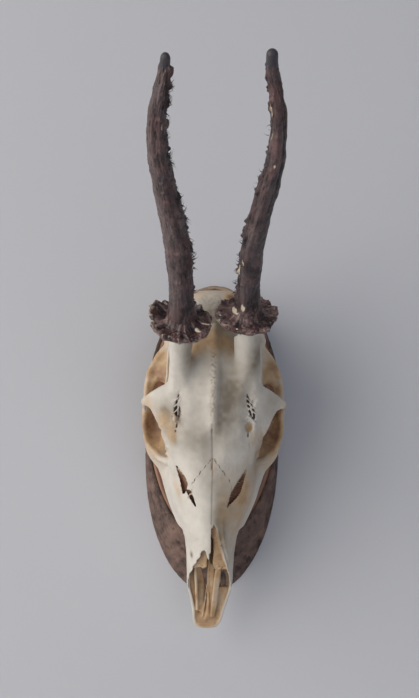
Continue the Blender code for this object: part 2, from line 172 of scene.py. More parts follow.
CAMERA_PLACE = (-0.0033, -0.5387, -0.0594)
CAMERA_TILT = math.radians(14.0)
CAMERA_ROLL = math.radians(1.28)
LENS = 39.32

camera = bpy.data.objects.new("camera", bpy.data.cameras.new("camera"))
camera.data.lens = LENS
camera.matrix_world = (Matrix.Translation(CAMERA_PLACE) @ Matrix.Rotation(math.pi / 2 + CAMERA_TILT, 4, "X")
                       @ Matrix.Rotation(CAMERA_ROLL, 4, "Z"))
bpy.context.scene.collection.objects.link(camera)
bpy.context.scene.camera = camera

# ---- The cranium, as one body ----
# A roe buck's upper skull of bleached bone. Its bones grow into each other, so it is first worked out as one
# body: the distance to the bone's surface at each point of a grid, in mm. Its own frame lies as on a table:
# u across, f forward to the nose, h over the plane that the teeth stand on.

GRID_STEP = 0.56
SLICE_FACE = 22.3  # how far the skull's zero of h stands off the wall, in mm
SKULL_LIFT = 25.0  # and how high its zero of f lies over the origin
GRID_HALF = round(47.5 / GRID_STEP)
GRID_ENDS = ((-75, 143), (-3, 111))  # of f, from the nape to the nose, and of h, from the teeth to the burrs
grid = (np.arange(-GRID_HALF, GRID_HALF + 1) * GRID_STEP,
        *[np.arange(*ends, GRID_STEP) for ends in GRID_ENDS])
half_grid = (grid[0][GRID_HALF:], grid[1], grid[2])


def clamp(value):
    """The value, held between 0 and 1."""
    return np.clip(value, 0, 1)


def flowing(x, knots, values):
    """A smooth curve through the knots: cubic between each two, with slopes from their neighbours."""
    knots, values = np.asarray(knots, float), np.asarray(values, float)
    slopes = np.gradient(values, knots)
    i = np.clip(np.searchsorted(knots, x, side="right") - 1, 0, len(knots) - 2)
    width = knots[i + 1] - knots[i]
    t = clamp((x - knots[i]) / width)
    rise = values[i] * (1 + 2 * t) * (1 - t) ** 2 + values[i + 1] * t * t * (3 - 2 * t)
    return rise + width * (slopes[i] * t * (1 - t) ** 2 - slopes[i + 1] * t * t * (1 - t))


def along(points, steps):
    """A smooth line through the points, each with any number of values, at so many steps between each two."""
    at = np.linspace(0, len(points) - 1, (len(points) - 1) * steps + 1)
    return np.column_stack([flowing(at, np.arange(len(points)), column) for column in zip(*points)])


def to_rods(starts, ends, start_radii, end_radii, squeeze):
    """The distance to tapered rods: how far a point is from the nearest point of each middle line, less the
    radius there. Squeeze stretches the axes first, which flattens the rods along them."""
    squeeze = np.array(squeeze, float)

    def distance(u, f, h):
        nearest = np.float32(1e3)
        for a, b, ra, rb in zip(starts * squeeze, ends * squeeze, start_radii, end_radii):
            du, df, dh = u * squeeze[0] - a[0], f * squeeze[1] - a[1], h * squeeze[2] - a[2]
            way = (b - a).astype(np.float32)
            t = clamp((du * way[0] + df * way[1] + dh * way[2]) / max(way @ way, 1e-9))
            off = np.sqrt((du - t * way[0]) ** 2 + (df - t * way[1]) ** 2 + (dh - t * way[2]) ** 2)
            nearest = np.minimum(nearest, off - (ra + (rb - ra) * t))
        return nearest / np.sqrt(squeeze.max())

    reach = np.max([*start_radii, *end_radii]) / squeeze
    ends_of_all = np.vstack([starts, ends])
    return ends_of_all.min(0) - reach, ends_of_all.max(0) + reach, distance


def bar(points, steps=5, squeeze=(1, 1, 1)):
    """A bar of bone along a smooth line through points (u, f, h, radius)."""
    line = along(points, steps)
    return to_rods(line[:-1, :3], line[1:, :3], line[:-1, 3], line[1:, 3], squeeze)


def sheet(one_edge, other_edge, ribs=34, squeeze=(1, 1, 1)):
    """A plate of bone between two smooth lines of points (u, f, h, radius), as ribs from one to the other."""
    at = np.linspace(0, 1, ribs)
    lines = []
    for edge in (one_edge, other_edge):
        line = along(edge, 8)
        place = np.linspace(0, 1, len(line))
        lines.append(np.column_stack([np.interp(at, place, column) for column in line.T]))
    return to_rods(lines[0][:, :3], lines[1][:, :3], lines[0][:, 3], lines[1][:, 3], squeeze)


def knob(centre, radii, turn=0.0, lean=0.0):
    """An ellipsoid. Its distance is k (k - 1) / m, where k is the length of the place over the radii, and m
    the same over their squares. Turn, in degrees, swings its front to the middle, and lean, in degrees too,
    drops its outer side."""
    centre, radii = np.array(centre, float), np.array(radii, float)
    c, s = math.cos(math.radians(turn)), math.sin(math.radians(turn))
    cl, sl = math.cos(math.radians(lean)), math.sin(math.radians(lean))

    def distance(u, f, h):
        u, f, h = u - centre[0], f - centre[1], h - centre[2]
        u, f = u * c + f * s, f * c - u * s
        u, h = u * cl - h * sl, h * cl + u * sl
        k = np.sqrt((u / radii[0]) ** 2 + (f / radii[1]) ** 2 + (h / radii[2]) ** 2)
        m = np.sqrt((u / radii[0] ** 2) ** 2 + (f / radii[1] ** 2) ** 2 + (h / radii[2] ** 2) ** 2)
        return k * (k - 1) / np.maximum(m, 1e-6)

    return centre - radii.max(), centre + radii.max(), distance


def near(axes, low, high):
    """The part of a grid that holds a box, as slices, and the coordinates of its points."""
    part = tuple(slice(*np.searchsorted(axis, (a, b))) for axis, a, b in zip(axes, low, high))
    values = [axis[cut].astype(np.float32) for axis, cut in zip(axes, part)]
    return part, np.meshgrid(*values, indexing="ij", sparse=True)


def blend_in(body, axes, sign, form, blend):
    """Adds a form to the body, or cuts it away where sign is -1. Where both are within blend, the joint is
    rounded: the lesser distance drops by (blend - gap)^2 / 4 blend."""
    low, high, distance = form
    part, place = near(axes, low - blend - 3, high + blend + 3)
    one, two = sign * body[part], distance(*place)
    overlap = np.maximum(blend - np.abs(one - two), 0)
    body[part] = sign * (np.minimum(one, two) - overlap ** 2 / (4 * blend))


def tools(body, axes):
    """The two ways to work a form into this body: to add it, and to cut it away."""
    return partial(blend_in, body, axes, 1), partial(blend_in, body, axes, -1)


def lumps(points, size, seed):
    """Smooth noise from -1 to 1: random heights at the corners of a lattice of this size. Between them it
    eases by t^2 (3 - 2 t)."""
    places = np.asarray(points, float) / size + 100.5 + 17.3 * seed
    whole = np.floor(places).astype(np.int64)
    part = places - whole
    ease = part * part * (3 - 2 * part)
    total = 0
    for corner in range(8):
        step = np.array([corner >> k & 1 for k in range(3)])
        x, y, z = ((whole + step).T * np.array([[73856093], [19349663], [83492791]])).astype(np.uint64)
        key = (x ^ y ^ z) & np.uint64(0xFFFFFF)
        key = (key * np.uint64(2654435761) >> np.uint64(7)) & np.uint64(0xFFFF)
        weight = np.prod(np.where(step, ease, 1 - ease), axis=1)
        total = total + weight * (key / 32767.5 - 1)
    return total


def spot(points, centre, radii):
    """A soft spot: exp(-d^2), where d is how far a point is from the centre, in radii."""
    return np.exp(-(((points - np.array(centre)) / np.array(radii)) ** 2).sum(1))


def roughen(body, centre, radii, size, amount, seed):
    """Breaks up the bone round a place with noise of this size, which fades as a soft spot does."""
    centre, radii = np.array(centre, float), np.array(radii, float)
    part, place = near(grid, centre - 2 * radii, centre + 2 * radii)
    points = np.stack(np.broadcast_arrays(*place), -1).reshape(-1, 3)
    noise = lumps(points, size, seed) * spot(points, centre, radii) * amount
    body[part] += noise.reshape(body[part].shape).astype(np.float32)


# f, half width, top, bottom, height of the widest place, squareness
SECTIONS = (
    (-67, 13, 57, 40, 49, 2.0), (-60, 22, 63, 28, 45, 2.1), (-50, 26.6, 68, 24, 44, 2.1),
    (-38, 27.6, 72.5, 23, 46, 2.1), (-26, 26.8, 76, 23, 48, 2.1), (-12, 25.4, 78, 23, 50, 2.2),
    (2, 26.5, 78, 22, 54, 2.4), (16, 27, 75, 18, 53, 2.4), (28, 27, 69.5, 12, 47, 2.3),
    (40, 27.5, 63, 10, 33, 2.1), (54, 27, 58, 10, 26, 2.0), (68, 22.5, 53.5, 10, 22, 2.0),
    (80, 17.2, 50, 9.5, 21, 2.0), (92, 15.1, 46.5, 8.5, 21, 2.0), (104, 14.4, 41, 7.5, 19, 2.0),
    (113, 13.9, 36, 6.5, 17, 2.0), (120, 11.9, 30, 6, 15, 2.0), (128, 9.9, 23, 5, 12, 2.1),
    (135, 8.4, 15, 4.5, 9.5, 2.3), (139.5, 5.0, 9, 5, 7, 2.3))


def cranium(inset=0.0, widest=99.0, start=-67.0, end=139.5):
    """The cranium and face: across f, a superellipse (u / width)^p + (h / height)^p = 1 whose sizes flow
    along f. The distance is how far that root is from 1, over how fast it grows."""
    def distance(u, f, h):
        columns = np.array(SECTIONS).T
        inner = np.clip(f.ravel(), -66.5, 139.5)
        half, top, bottom, middle, power = (flowing(inner, columns[0], column).reshape(f.shape)
                                            for column in columns[1:])
        half = np.minimum(half - inset, widest)
        height = np.where(h > middle, top - middle, middle - bottom) - inset
        height = np.maximum(height, 0.5)
        root = ((np.abs(u) / half) ** power + (np.abs(h - middle) / height) ** power) ** (1 / power)
        slope = np.sqrt(sum(g ** 2 for g in np.gradient(root.astype(np.float32), GRID_STEP)))
        off = (root - 1) / np.maximum(slope, 0.02)
        return np.maximum(off, np.maximum(f - end, start - f))

    return np.array((0, start, 0)), np.array((32, end, 80)), distance


HALF_ORBITS = 44.5  # half of the breadth over the rear rims of the sockets
FAR = 12  # the distance where there is no bone yet
TOOTH_PLACES = ((14.8, 79, 7), (18.5, 70, 9), (20.5, 60.5, 10), (22, 50.5, 11), (23, 39.5, 11.5),
                (22.5, 28.5, 11))


def right_half():
    """What both sides of the skull share, on the half of the grid with u over 0."""
    body = np.full([len(axis) for axis in half_grid], FAR, np.float32)
    add, cut = tools(body, half_grid)
    rim = HALF_ORBITS
    add(cranium(), 1)
    # Cheek: the lower rim of the socket, its floor and the arch that runs back to the ear.
    add(knob((33, 18, 24), (11.5, 20, 8)), 3)
    lower_rim = ((rim - 1.9, 5, 33, 1.9), (rim - 1, 14, 30.5, 1.4), (rim - 3, 24, 29.5, 1.5),
                 (37.2, 31, 30.5, 1.5), (32.6, 35.5, 34, 1.6), (28, 37.5, 38, 2))
    add(bar(lower_rim), 1.5)
    add(sheet(lower_rim, ((34, 6, 22, 3), (34, 16, 18, 4), (32, 26, 17, 5), (29, 32, 20, 5), (27, 35, 26, 5),
                          (25, 35, 32, 4)), 50), 2)
    # The temple: the thin outer arch, and the shelf between that and the braincase, hollow behind the bar.
    arch = ((rim - 2, 8, 31.5, 2.2), (rim - 1.2, -4, 33, 1.6), (rim - 2.8, -18, 35.5, 1.4),
            (36.6, -28.5, 37.5, 1.5), (29, -36, 40, 2.6))
    add(bar(arch, squeeze=(1, 1, 0.62)), 1.5)
    add(sheet(((27, -37, 41, 2.4), (27, -29, 41, 2.6), (26, -14, 40, 3), (25, 2, 36, 3)),
              ((36, -29, 37.5, 1.5), (41.4, -18, 34.6, 1.4), (42.4, -5, 31.8, 1.5), (41.5, 6, 29, 1.8)),
              46), 3)
    cut(knob((35, -5, 42), (6, 9, 12.5)), 3)
    add(bar(((28.4, -32, 52, 1), (29.2, -24, 50, 0.9), (29.4, -14, 48, 0.9), (30.6, -7, 45, 0.8))), 1.2)
    cut(bar(((26.4, -30, 62, 0.5), (27.6, -22, 56, 0.7), (27.8, -13, 53, 0.7), (28.8, -7, 50, 0.5))), 0.8)
    add(bar(((34, 30, 26, 4), (28.6, 46, 24, 3.6), (23.8, 60, 21, 3.2), (18.6, 73, 18, 2.6))), 6)
    # Underside and back of the head.
    add(knob((8.5, -65, 33), (6, 7, 8)), 3)
    add(knob((17, -43, 19), (6.5, 10, 9), 15), 3)
    add(bar(((20, -57, 34, 6), (18.5, -56, 18, 4.2), (16.5, -53, 1.5, 2.4))), 4)
    add(bar(((10, 22, 14, 2.5), (9, 8, 13, 2.2), (8, -8, 22, 4)), squeeze=(1.5, 1, 1)), 3)
    add(knob((0, -64, 55), (20, 4, 5)), 4)
    add(bar(((18, -62, 50, 2), (27, -52, 44, 2), (31, -41, 39, 2))), 5)
    # Sockets, and the inside of the nose.
    cut(knob((41, 20, 45.5), (15.4, 15.4, 15)), 1)
    cut(knob((36.4, 16.5, 37), (6.6, 13, 11)), 2.5)
    cut(knob((31, 12, 46), (8, 12, 12)), 3)
    # Brow: a thin plate from the forehead out over the eye, which ends in the bar behind the eye.
    inner = ((21.5, -20, 74, 5), (21.5, -12, 71.5, 4.5), (22, -4, 69.5, 4), (22.5, 2, 67.5, 4),
             (23, 6, 65.6, 4), (23, 10, 64, 4), (23, 14, 62.3, 4), (23, 18, 60.5, 4), (23, 22, 58, 4),
             (22.5, 28, 54, 4), (22, 34, 49, 4))
    outer = ((23.4, -20, 76, 2.4), (23.8, -12, 72, 2.1), (26.6, -5.6, 67, 1.7), (33.4, -2.8, 62, 1.5),
             (39.6, 0.2, 56.5, 1.4), (43, 2.8, 52, 1.3), (38, 6.8, 54.5, 1.3), (34, 14.2, 55.4, 1.3),
             (30.6, 21, 54.2, 1.4), (28, 27.5, 50, 1.6), (26.6, 33, 44, 1.8))
    add(sheet(inner, outer, 46), 3)
    add(bar(((rim - 1.7, 3, 52, 1.5), (rim - 1.6, 3.6, 46, 1.6), (rim - 1.7, 4.6, 40, 1.8),
             (rim - 1.8, 5.5, 33, 2.2)), squeeze=(1, 0.7, 1)), 2)
    # Tear bone: a lumpy hollow ahead of the socket.
    cut(knob((28.5, 33.2, 49), (2.6, 2.2, 4)), 1.2)
    cut(knob((31.6, 35.4, 44), (1.5, 1.2, 3)), 0.8)
    add(knob((30.2, 31, 40), (1.6, 1.4, 1.6)), 1)
    add(knob((27.6, 30.2, 45), (1.3, 1.6, 1.4)), 1)
    # The forehead falls from its ridge like a tent, and has short valleys beside the stalks of the antlers.
    cut(bar(((20, -26, 112, 38.5), (20, 2, 112, 38.5), (20, 16, 109.5, 38.5), (20, 26, 107, 38))), 2)
    cut(bar(((8, -27, 84.8, 8), (8.4, -13, 84.4, 8), (9, -4, 86, 6))), 5)
    cut(cranium(1.7, 13, 52, 136), 0.6)
    # Cheek teeth: a column each, with two ribs on its outer side.
    for u, f, breadth in TOOTH_PLACES:
        add(bar(((u - 0.4, f, 14, breadth / 2), (u - 0.4, f, 7, breadth / 2 - 0.2),
                 (u - 0.8, f, -3, breadth / 2 - 1)), 2), 0.6)
        for aside in (-0.24 * breadth, 0.24 * breadth):
            top, foot = u + 0.24 * breadth - 0.8, u + 0.2 * breadth - 1
            add(bar(((top, f + aside, 11, 1.8), (foot, f + aside, -2, 1.5)), 1), 0.5)
    return body


half = right_half()
case = np.full_like(half, FAR)  # the cranium alone, which tells the inside of the nose from its outside
blend_in(case, half_grid, 1, cranium(), 1)
case = np.concatenate([case[:0:-1], case])


# Where the roof of the nose ends: f for each u. The nasal bone on the right is broken off short.
NOSE_ROOF_END = ((-14.5, 127), (-13.4, 115.4), (-12.8, 106.8), (-9.8, 100.4), (-6.8, 95.7), (-5.5, 92.8),
                 (-3.9, 90.3), (-2.6, 92.8), (-1.2, 96.5), (-0.1, 96.8), (0.3, 78), (2.2, 76.6), (3.3, 77.9),
                 (4.6, 84.6), (6.2, 86.8), (8.1, 95.9), (9.4, 98), (12.2, 107.6), (13.4, 116), (14.5, 127))
# And how high its side walls stand beyond that: h for each f.
NOSE_WALL_TOP = ((70, 30), (100, 28), (107, 24.5), (113, 20), (118, 16.5), (124, 13.5), (131, 11), (140, 8.6))
# Each antler's stalk: its top under the burr, the way up there, its foot, and how softly it joins the skull.
STALKS = (((17.4, -36.5, 99.5), (0, -14, 20.5), ((17, 1, 62, 8.4), (19, -16, 76, 7.6)), 6),
          ((-19.6, -31.8, 98), (0, -16.2, 23), ((-18.4, 1, 62, 7.2), (-20.4, -15, 76, 6.2)), 4))
TROUGH = ((23.4, -8, 81, 1), (23, -2, 78.4, 3.6), (22.8, 4, 76, 5), (22.8, 12, 73.8, 5.2), (23, 26, 68.4, 3))
# The ragged floor of the groove over each eye: the side, its slots, and the struts between them.
GROOVES = (
    (-1,
     (((20.9, 1.2, 70.5, 0.3), (21.3, 4.4, 69.5, 0.8), (21.9, 8, 68.3, 1.2), (22.3, 11.4, 67.3, 1.2),
       (21.8, 13.6, 67, 0.5)),
      ((20.2, 8.6, 68.8, 0.3), (20.3, 11.4, 68, 0.7), (20.7, 14.4, 67.3, 0.5)),
      ((21.6, 17.6, 66, 0.4), (21.8, 20, 65.4, 0.6))),
     (((20, 2.6, 71, 0.45), (23, 5, 69.8, 0.45)), ((20.4, 6, 69.6, 0.5), (23.6, 8.6, 68.6, 0.45)),
      ((20.8, 9.4, 68.8, 0.5), (23.6, 12, 67.6, 0.5)),
      ((21, 4, 70, 0.3), (21.2, 8, 68.8, 0.5), (21.2, 13, 67.4, 0.5)))),
    (1,
     (((19.5, 0.6, 71.6, 0.3), (20.3, 4, 69.9, 0.9), (21.6, 7.6, 68.6, 1.4), (22.9, 10.8, 67.6, 1.6),
       (23.8, 13.6, 66.6, 1)),
      ((20.6, 22.8, 64.2, 0.4), (20.8, 24.4, 63.8, 0.5)),
      ((21.7, 28.6, 61.6, 0.3), (22, 30.2, 60.9, 0.35))),
     (((19.6, 3, 71, 0.45), (22.6, 5.4, 69.6, 0.5)), ((20, 5.8, 70, 0.5), (24, 8.6, 68.4, 0.5)),
      ((20.8, 8.6, 69, 0.5), (24.8, 11.4, 67.4, 0.5)),
      ((21.4, 5, 69.8, 0.3), (22.2, 9, 68.4, 0.45), (23.2, 13, 67, 0.5)),
      ((19.4, 12.6, 68.4, 0.6), (22, 14.6, 67.1, 0.75), (24.8, 17, 65.4, 0.9)))))
FLOOR_GAPS = (((-4.6, 100, 8, 1.6), (-4.2, 107, 8, 2.3), (-3, 116, 8, 1.2), (-3.4, 127, 8, 0.8)),
              ((7, 99, 8, 1), (8.6, 107, 8, 1.7), (9, 112.4, 8, 1.5), (8.6, 115, 8, 0.7)))
# The inside of the nose: how softly each part joins on, then the line of a rod or both edges of a sheet, and
# its steps or ribs. First its middle wall and the rods between that and the tip.
NOSE_PARTS = (
    (1.5, [((0, 55, 13, 3.4), (0, 84, 12, 3.2), (-0.3, 105, 13, 2.2), (-0.8, 133, 8, 1.5))], 5, (1.6, 1, 1)),
    (0.6, [((0, 60, 42, 1.4), (0, 84, 33, 1.1), (-0.4, 97, 24.5, 1.2), (-0.9, 104, 21, 1.1),
            (-0.8, 118, 15, 1.1), (-0.5, 132, 9.4, 1.2))], 5, (1.2, 1, 0.8)),
    (0.3, [((-1.8, 112, 19, 0.4), (-2.4, 121, 15, 0.5), (-3.2, 131.4, 10.4, 0.6))]),
    (0.3, [((-0.4, 117, 17.2, 0.4), (0.1, 125, 13.6, 0.5), (0.6, 132.6, 10.2, 0.6))]),
    (0.4, [((4.4, 101, 29.6, 0.8), (3.6, 106, 27.4, 0.9), (2.8, 115, 22, 0.9), (2.4, 125, 16, 0.9),
            (2.5, 131, 12, 0.8)),
           ((6.4, 101, 29, 0.8), (5.8, 106, 26.6, 0.9), (5, 115, 21.2, 0.9), (4.2, 125, 15.4, 0.9),
            (3.7, 131, 11.6, 0.8))], 50),
    (0.4, [((-8.9, 101.5, 28, 1), (-8.5, 108, 24.8, 1.05), (-7.7, 118, 18.6, 1.05), (-6.8, 127, 12.6, 0.8))]),
    # The floor, left and right, and the plates beside the middle wall.
    (1, [((-13, 99, 24, 0.8), (-12.8, 108, 20.4, 0.8), (-11.4, 118, 14, 0.8), (-9.4, 128, 10, 0.8)),
         ((-9, 99, 23.6, 0.8), (-8.6, 108, 20, 0.8), (-7.8, 118, 14, 0.8), (-7, 128, 10, 0.8))], 40),
    (1, [((5, 114, 13, 1), (4, 124, 11, 1), (3, 131, 9, 1)),
         ((12, 114, 15, 1), (10.4, 122, 13, 1), (8.4, 130, 10, 1))], 36),
    (0.8, [((-9, 101, 26.4, 0.8), (-8.6, 110, 21.6, 0.8), (-6.8, 127, 11.6, 1)),
           ((-6.2, 101, 25, 0.8), (-4.9, 107, 20.4, 0.8), (-3.5, 112, 16.6, 0.8), (-2.6, 119, 13, 0.9),
            (-2.2, 129, 10, 1))], 60),
    (0.6, [((-0.8, 98, 23.4, 0.8), (-0.8, 104, 20.6, 0.8), (-0.7, 118, 14.8, 0.8), (-0.4, 132, 9, 1)),
           ((2.6, 100, 24, 0.8), (2.3, 110, 20, 0.8), (2.1, 120, 15.4, 0.8), (2, 131, 10, 1))], 60),
    # The rolled bones where the roof is broken off: the right one with a rib along it, then the left one.
    (1.2, [((0.2, 74.5, 48.3, 0.8), (0.3, 81, 46.2, 0.8), (1.9, 84, 45, 0.8), (2.5, 92, 40.6, 0.8),
            (2.3, 97.4, 36, 0.9), (3.2, 101, 31, 0.9)),
           ((6, 74.5, 48.4, 0.9), (7.4, 84, 45.8, 0.9), (9.4, 92, 41.4, 0.9), (10.6, 97, 37, 0.9),
            (10, 101, 31, 0.9))], 46),
    (0.6, [((3.3, 76.5, 49.6, 0.4), (5, 84, 47.4, 0.5), (7.2, 91, 44, 0.5), (9.6, 98, 39, 0.5),
            (11, 104, 33, 0.4))]),
    (1.2, [((-2.2, 82, 43, 0.8), (-2.4, 92, 40.5, 0.8), (-2.6, 100.6, 34, 0.8)),
           ((-9, 82, 41, 0.9), (-9.8, 92, 37.5, 0.9), (-10.4, 100.6, 31, 0.9))]))
NOSE_LIP = (((-8, 129, 8.6, 1.6), (-6, 133.6, 7.6, 1.9), (-3, 136.5, 7, 2.1), (0, 136.5, 7, 1.6),
             (2.8, 136.6, 7, 2.1), (5.6, 133.6, 7.6, 1.9), (7.8, 129, 8.6, 1.6)),
            ((-6, 129, 7, 1.2), (-4, 131, 7, 1.5), (-1.5, 132, 7, 1.5), (0, 132, 7, 1.5), (1.5, 132, 7, 1.5),
             (4, 131, 7, 1.5), (6, 129, 7, 1.2)))
# Gaps between the nasal, frontal and maxilla, two on the left and one on the right: both edges, as (u, f).
NOSE_GAPS = ((((-21.6, 42), (-19.1, 50), (-17.2, 57.8)), ((-21.2, 42), (-15, 51.2), (-16.4, 57.6))),
             (((-15.2, 56), (-12.9, 60.4), (-9.6, 65.4)), ((-12.7, 56.6), (-11.2, 60.2), (-9.5, 65.4))),
             (((20.6, 43.4), (18.8, 50), (16.4, 57.5), (9.8, 65.3)),
              ((20.4, 43.4), (15.6, 50.2), (11.6, 58.4), (9.7, 65.3))))


def on_side(side, points):
    """Points that are given for u over 0, on the side with this sign."""
    return [(side * u, *rest) for u, *rest in points]


def whole_body(body):
    """What differs from side to side: the antlers' stalks, the nose with its broken bone, holes and knobs."""
    add, cut = tools(body, grid)
    # Stalks of the antlers, cut off square under the burrs. The left one is slimmer, with a valley beside it.
    cut(bar(((-12, -28, 86.6, 8), (-12.4, -14, 85.4, 8), (-12.4, -4, 86.6, 6))), 4)
    for (u, f, h), ahead, foot, blend in STALKS:
        add(bar((*foot, (u, f, h, 7.4), (u, f - 5, h + 7, 7.4))), blend)
        strut = ((20.6, -27, 62, 5), (20.8, -18, 71, 4.4), (21.2, -19, 78, 3))
        add(bar(on_side(math.copysign(1, u), strut)), 3)
        way = unit(np.array(ahead))
        part, (pu, pf, ph) = near(grid, (u - 24, f - 24, h - 24), (u + 24, f + 24, h + 24))
        body[part] = np.maximum(body[part], (pu - u) * way[0] + (pf - f) * way[1] + (ph - h) * way[2])
    # Groove over each eye: a trough that deepens to ragged slots in its floor, with slanting struts between.
    for side, slots, struts in GROOVES:
        cut(bar(on_side(side, TROUGH)), 5)
        roughen(body, (side * 21.6, 10, 68), (3.2, 10, 5), 1.3, 1.3, 31)
        roughen(body, (side * 30, 22, 55), (5, 9, 6), 2.2, 1, 37)
        for slot in slots:
            cut(bar(on_side(side, slot), squeeze=(1, 1, 0.22)), 0.3)
        for strut in struts:
            add(bar(on_side(side, strut), 3), 0.4)
    cut(knob((21.2, 19.4, 65.8), (2.5, 3.2, 4)), 0.6)
    add(knob((-22.9, 15.8, 68.6), (1.3, 2, 1.6)), 0.5)
    add(knob((-22, 18.4, 68.2), (0.5, 0.6, 0.7)), 0.2)
    # Low ridge of the forehead.
    ridge = ((0, -40, 72, 2), (0, -20, 75.3, 2), (0, 0, 76.6, 1.8), (0, 16, 73.6, 1.6), (0, 26, 68.6, 1.4))
    add(bar(ridge), 4)
    cut(bar(((0, 30, 75.4, 6), (0, 39, 70.4, 6), (0, 47, 68.4, 5))), 4)
    # Nose opening: what lies ahead of the roof's end and over the side walls goes.
    part, (pu, pf, ph) = near(grid, (-20, 70, 5), (20, 142.9, 62))
    end = np.interp(pu, *zip(*NOSE_ROOF_END)) + 0.5 * np.sin(pu * 2.7) + 0.3 * np.sin(pu * 5.9 + 1)
    opening = np.maximum((end - pf) * 0.7, flowing(pf, *zip(*NOSE_WALL_TOP)) - ph)
    body[part] = np.maximum(body[part], -opening)
    # Gaps in the floor of the nose, which show what is behind, and its parts. The broken edges are ragged.
    for gap in FLOOR_GAPS:
        cut(bar(gap, squeeze=(1, 1, 0.2)), 0.6)
    for blend, lines, *rest in NOSE_PARTS:
        add((bar if len(lines) == 1 else sheet)(*lines, *rest), blend)
    roughen(body, (-6, 101, 33), (5, 2.2, 5), 1.6, 1.3, 34)
    roughen(body, (6.4, 101, 33), (4, 2.2, 5), 1.6, 1.2, 35)
    roughen(body, (6, 88, 46), (4, 8, 4), 1.4, 0.5, 36)
    # The tip itself: a blunt rounded lip that joins both sides.
    add(knob((0, 131, 6.4), (7.4, 7.2, 3.9)), 1.5)
    add(sheet(*NOSE_LIP, 40), 1.5)
    # Three-cornered gaps beside the nasal bones; a strip of bone crosses the left one.
    for edges in NOSE_GAPS:
        cut(sheet(*[[(u, f, 50, 0.4) for u, f in edge] for edge in edges], 24, (1, 1, 0.06)), 0.3)
    add(bar(((-14.4, 60.4, 50.5, 0.5), (-13.2, 58.6, 50.2, 0.4), (-12, 58.2, 51, 0.5)), 2), 0.4)
    # What shows through them: the rolled bones of the nose, close under the roof.
    for side in (-1, 1):
        lower = ((21.8, 43, 46 + side, 1), (18.4, 58, 42.5 + 1.5 * side, 1), (10, 68, 43 + side, 1))
        upper = ((18.4, 43, 51, 1), (12, 52, 49, 1), (7, 64, 47, 1))
        add(sheet(on_side(side, lower), on_side(side, upper), 44), 1)
    # The lumpy tear bones, small holes, and the crack down the middle.
    for side in (-1, 1):
        roughen(body, (side * 29, 32.6, 46), (3, 4, 6), 1.5, 0.9, 33)
    cut(knob((-29.6, 32.5, 46.6), (1.3, 1.1, 2.4)), 0.4)
    cut(knob((27.7, 36, 45.4), (1.2, 1.1, 2.4)), 0.4)
    cut(knob((-28.3, 33.6, 49), (0.7, 0.9, 2)), 0.3)
    cut(bar(((-22.4, 22, 65, 0.5), (-22.2, 23, 65, 0.5)), 2, (1, 1, 0.2)), 0.3)
    cut(bar(((-11.9, 92.6, 37.6, 0.5), (-11.3, 95.4, 36.6, 0.6)), 2), 0.4)
    crack = ((-0.9, 19, 74, 0.2), (-0.7, 26, 71, 0.34), (-0.4, 36, 65.6, 0.4), (-0.2, 44, 61.5, 0.4))
    cut(bar(crack, squeeze=(1, 1, 0.22)), 0.2)
    return body


# Two ends are ground off: flat where it stands on the slice, and round at the tip of the nose, where f ends
# at NOSE_TIP - 0.03 u^2.
NOSE_TIP = 138.8
skull = whole_body(np.concatenate([half[:0:-1], half]))
past_tip = grid[1][:, None] + 0.03 * grid[0][:, None, None] ** 2 - NOSE_TIP
for ground in (0.02 - grid[2], past_tip):
    skull = np.maximum(skull, ground.astype(np.float32))


def skin(body, axes):
    """The zero level of a body. Each grid cell that it crosses gets one point, the mean of where it crosses
    the cell's edges, and each crossed edge gets a face through the points of the four cells round it."""
    solid = (body < 0).astype(np.int8)
    inside = solid[1:] + solid[:-1]
    inside = inside[:, 1:] + inside[:, :-1]
    inside = inside[:, :, 1:] + inside[:, :, :-1]
    crossed = (inside > 0) & (inside < 8)
    count = int(crossed.sum())
    number = np.full(crossed.shape, -1, np.int64)
    number[crossed] = np.arange(count)
    total, hits, faces = np.zeros((count, 3)), np.zeros(count), []
    for axis in range(3):
        one, two = [k for k in range(3) if k != axis]
        low = np.moveaxis(body, axis, 0)[:-1]
        high = np.moveaxis(body, axis, 0)[1:]
        cut = np.moveaxis((low < 0) != (high < 0), 0, axis)
        at = np.argwhere(cut)
        low = np.moveaxis(low, 0, axis)[tuple(at.T)]
        high = np.moveaxis(high, 0, axis)[tuple(at.T)]
        place = at.astype(float)
        place[:, axis] += low / (low - high)
        around = []
        for back in ((0, 0), (1, 0), (1, 1), (0, 1)):
            cell = at.copy()
            cell[:, one] -= back[0]
            cell[:, two] -= back[1]
            which = number[tuple(cell.T)]
            around.append(which)
            hits += np.bincount(which, minlength=count)
            for k in range(3):
                total[:, k] += np.bincount(which, place[:, k], count)
        quads = np.stack(around, 1)
        turned = (low < 0) if axis == 1 else (low >= 0)
        quads[turned] = quads[turned, ::-1]
        faces.append(quads)
    points = total / hits[:, None]
    return np.column_stack([axis[0] + GRID_STEP * p for axis, p in zip(axes, points.T)]), np.vstack(faces)


def hung(points):
    """Skull coordinates in millimetres as places in metres, with the nose down and the teeth on the slice."""
    u, f, h = points.T
    return np.column_stack([u, -SLICE_FACE - h, SKULL_LIFT - f]) / 1000


# ---- The bones, sawn apart along their seams ----
# Bleached bone: boiled, then whitened, so it is chalky cream with a low sheen, and tan where fat and skin sat
# in the sockets, the temples and the nose. Fine seams part the bones, and each bone is a closed piece.


def sample(body, points, axes=grid):
    """The body between the grid's points: the mean of the eight corners round each place, by nearness."""
    places = [np.clip((p - axis[0]) / GRID_STEP, 0, len(axis) - 1.001) for p, axis in zip(points.T, axes)]
    whole = [p.astype(np.int64) for p in places]
    part = [(p - w).astype(np.float32) for p, w in zip(places, whole)]
    total = 0
    for corner in range(8):
        step = [corner >> k & 1 for k in range(3)]
        weight = 1
        for k in range(3):
            weight = weight * (part[k] if step[k] else 1 - part[k])
        total = total + weight * body[tuple(w + k for w, k in zip(whole, step))]
    return total


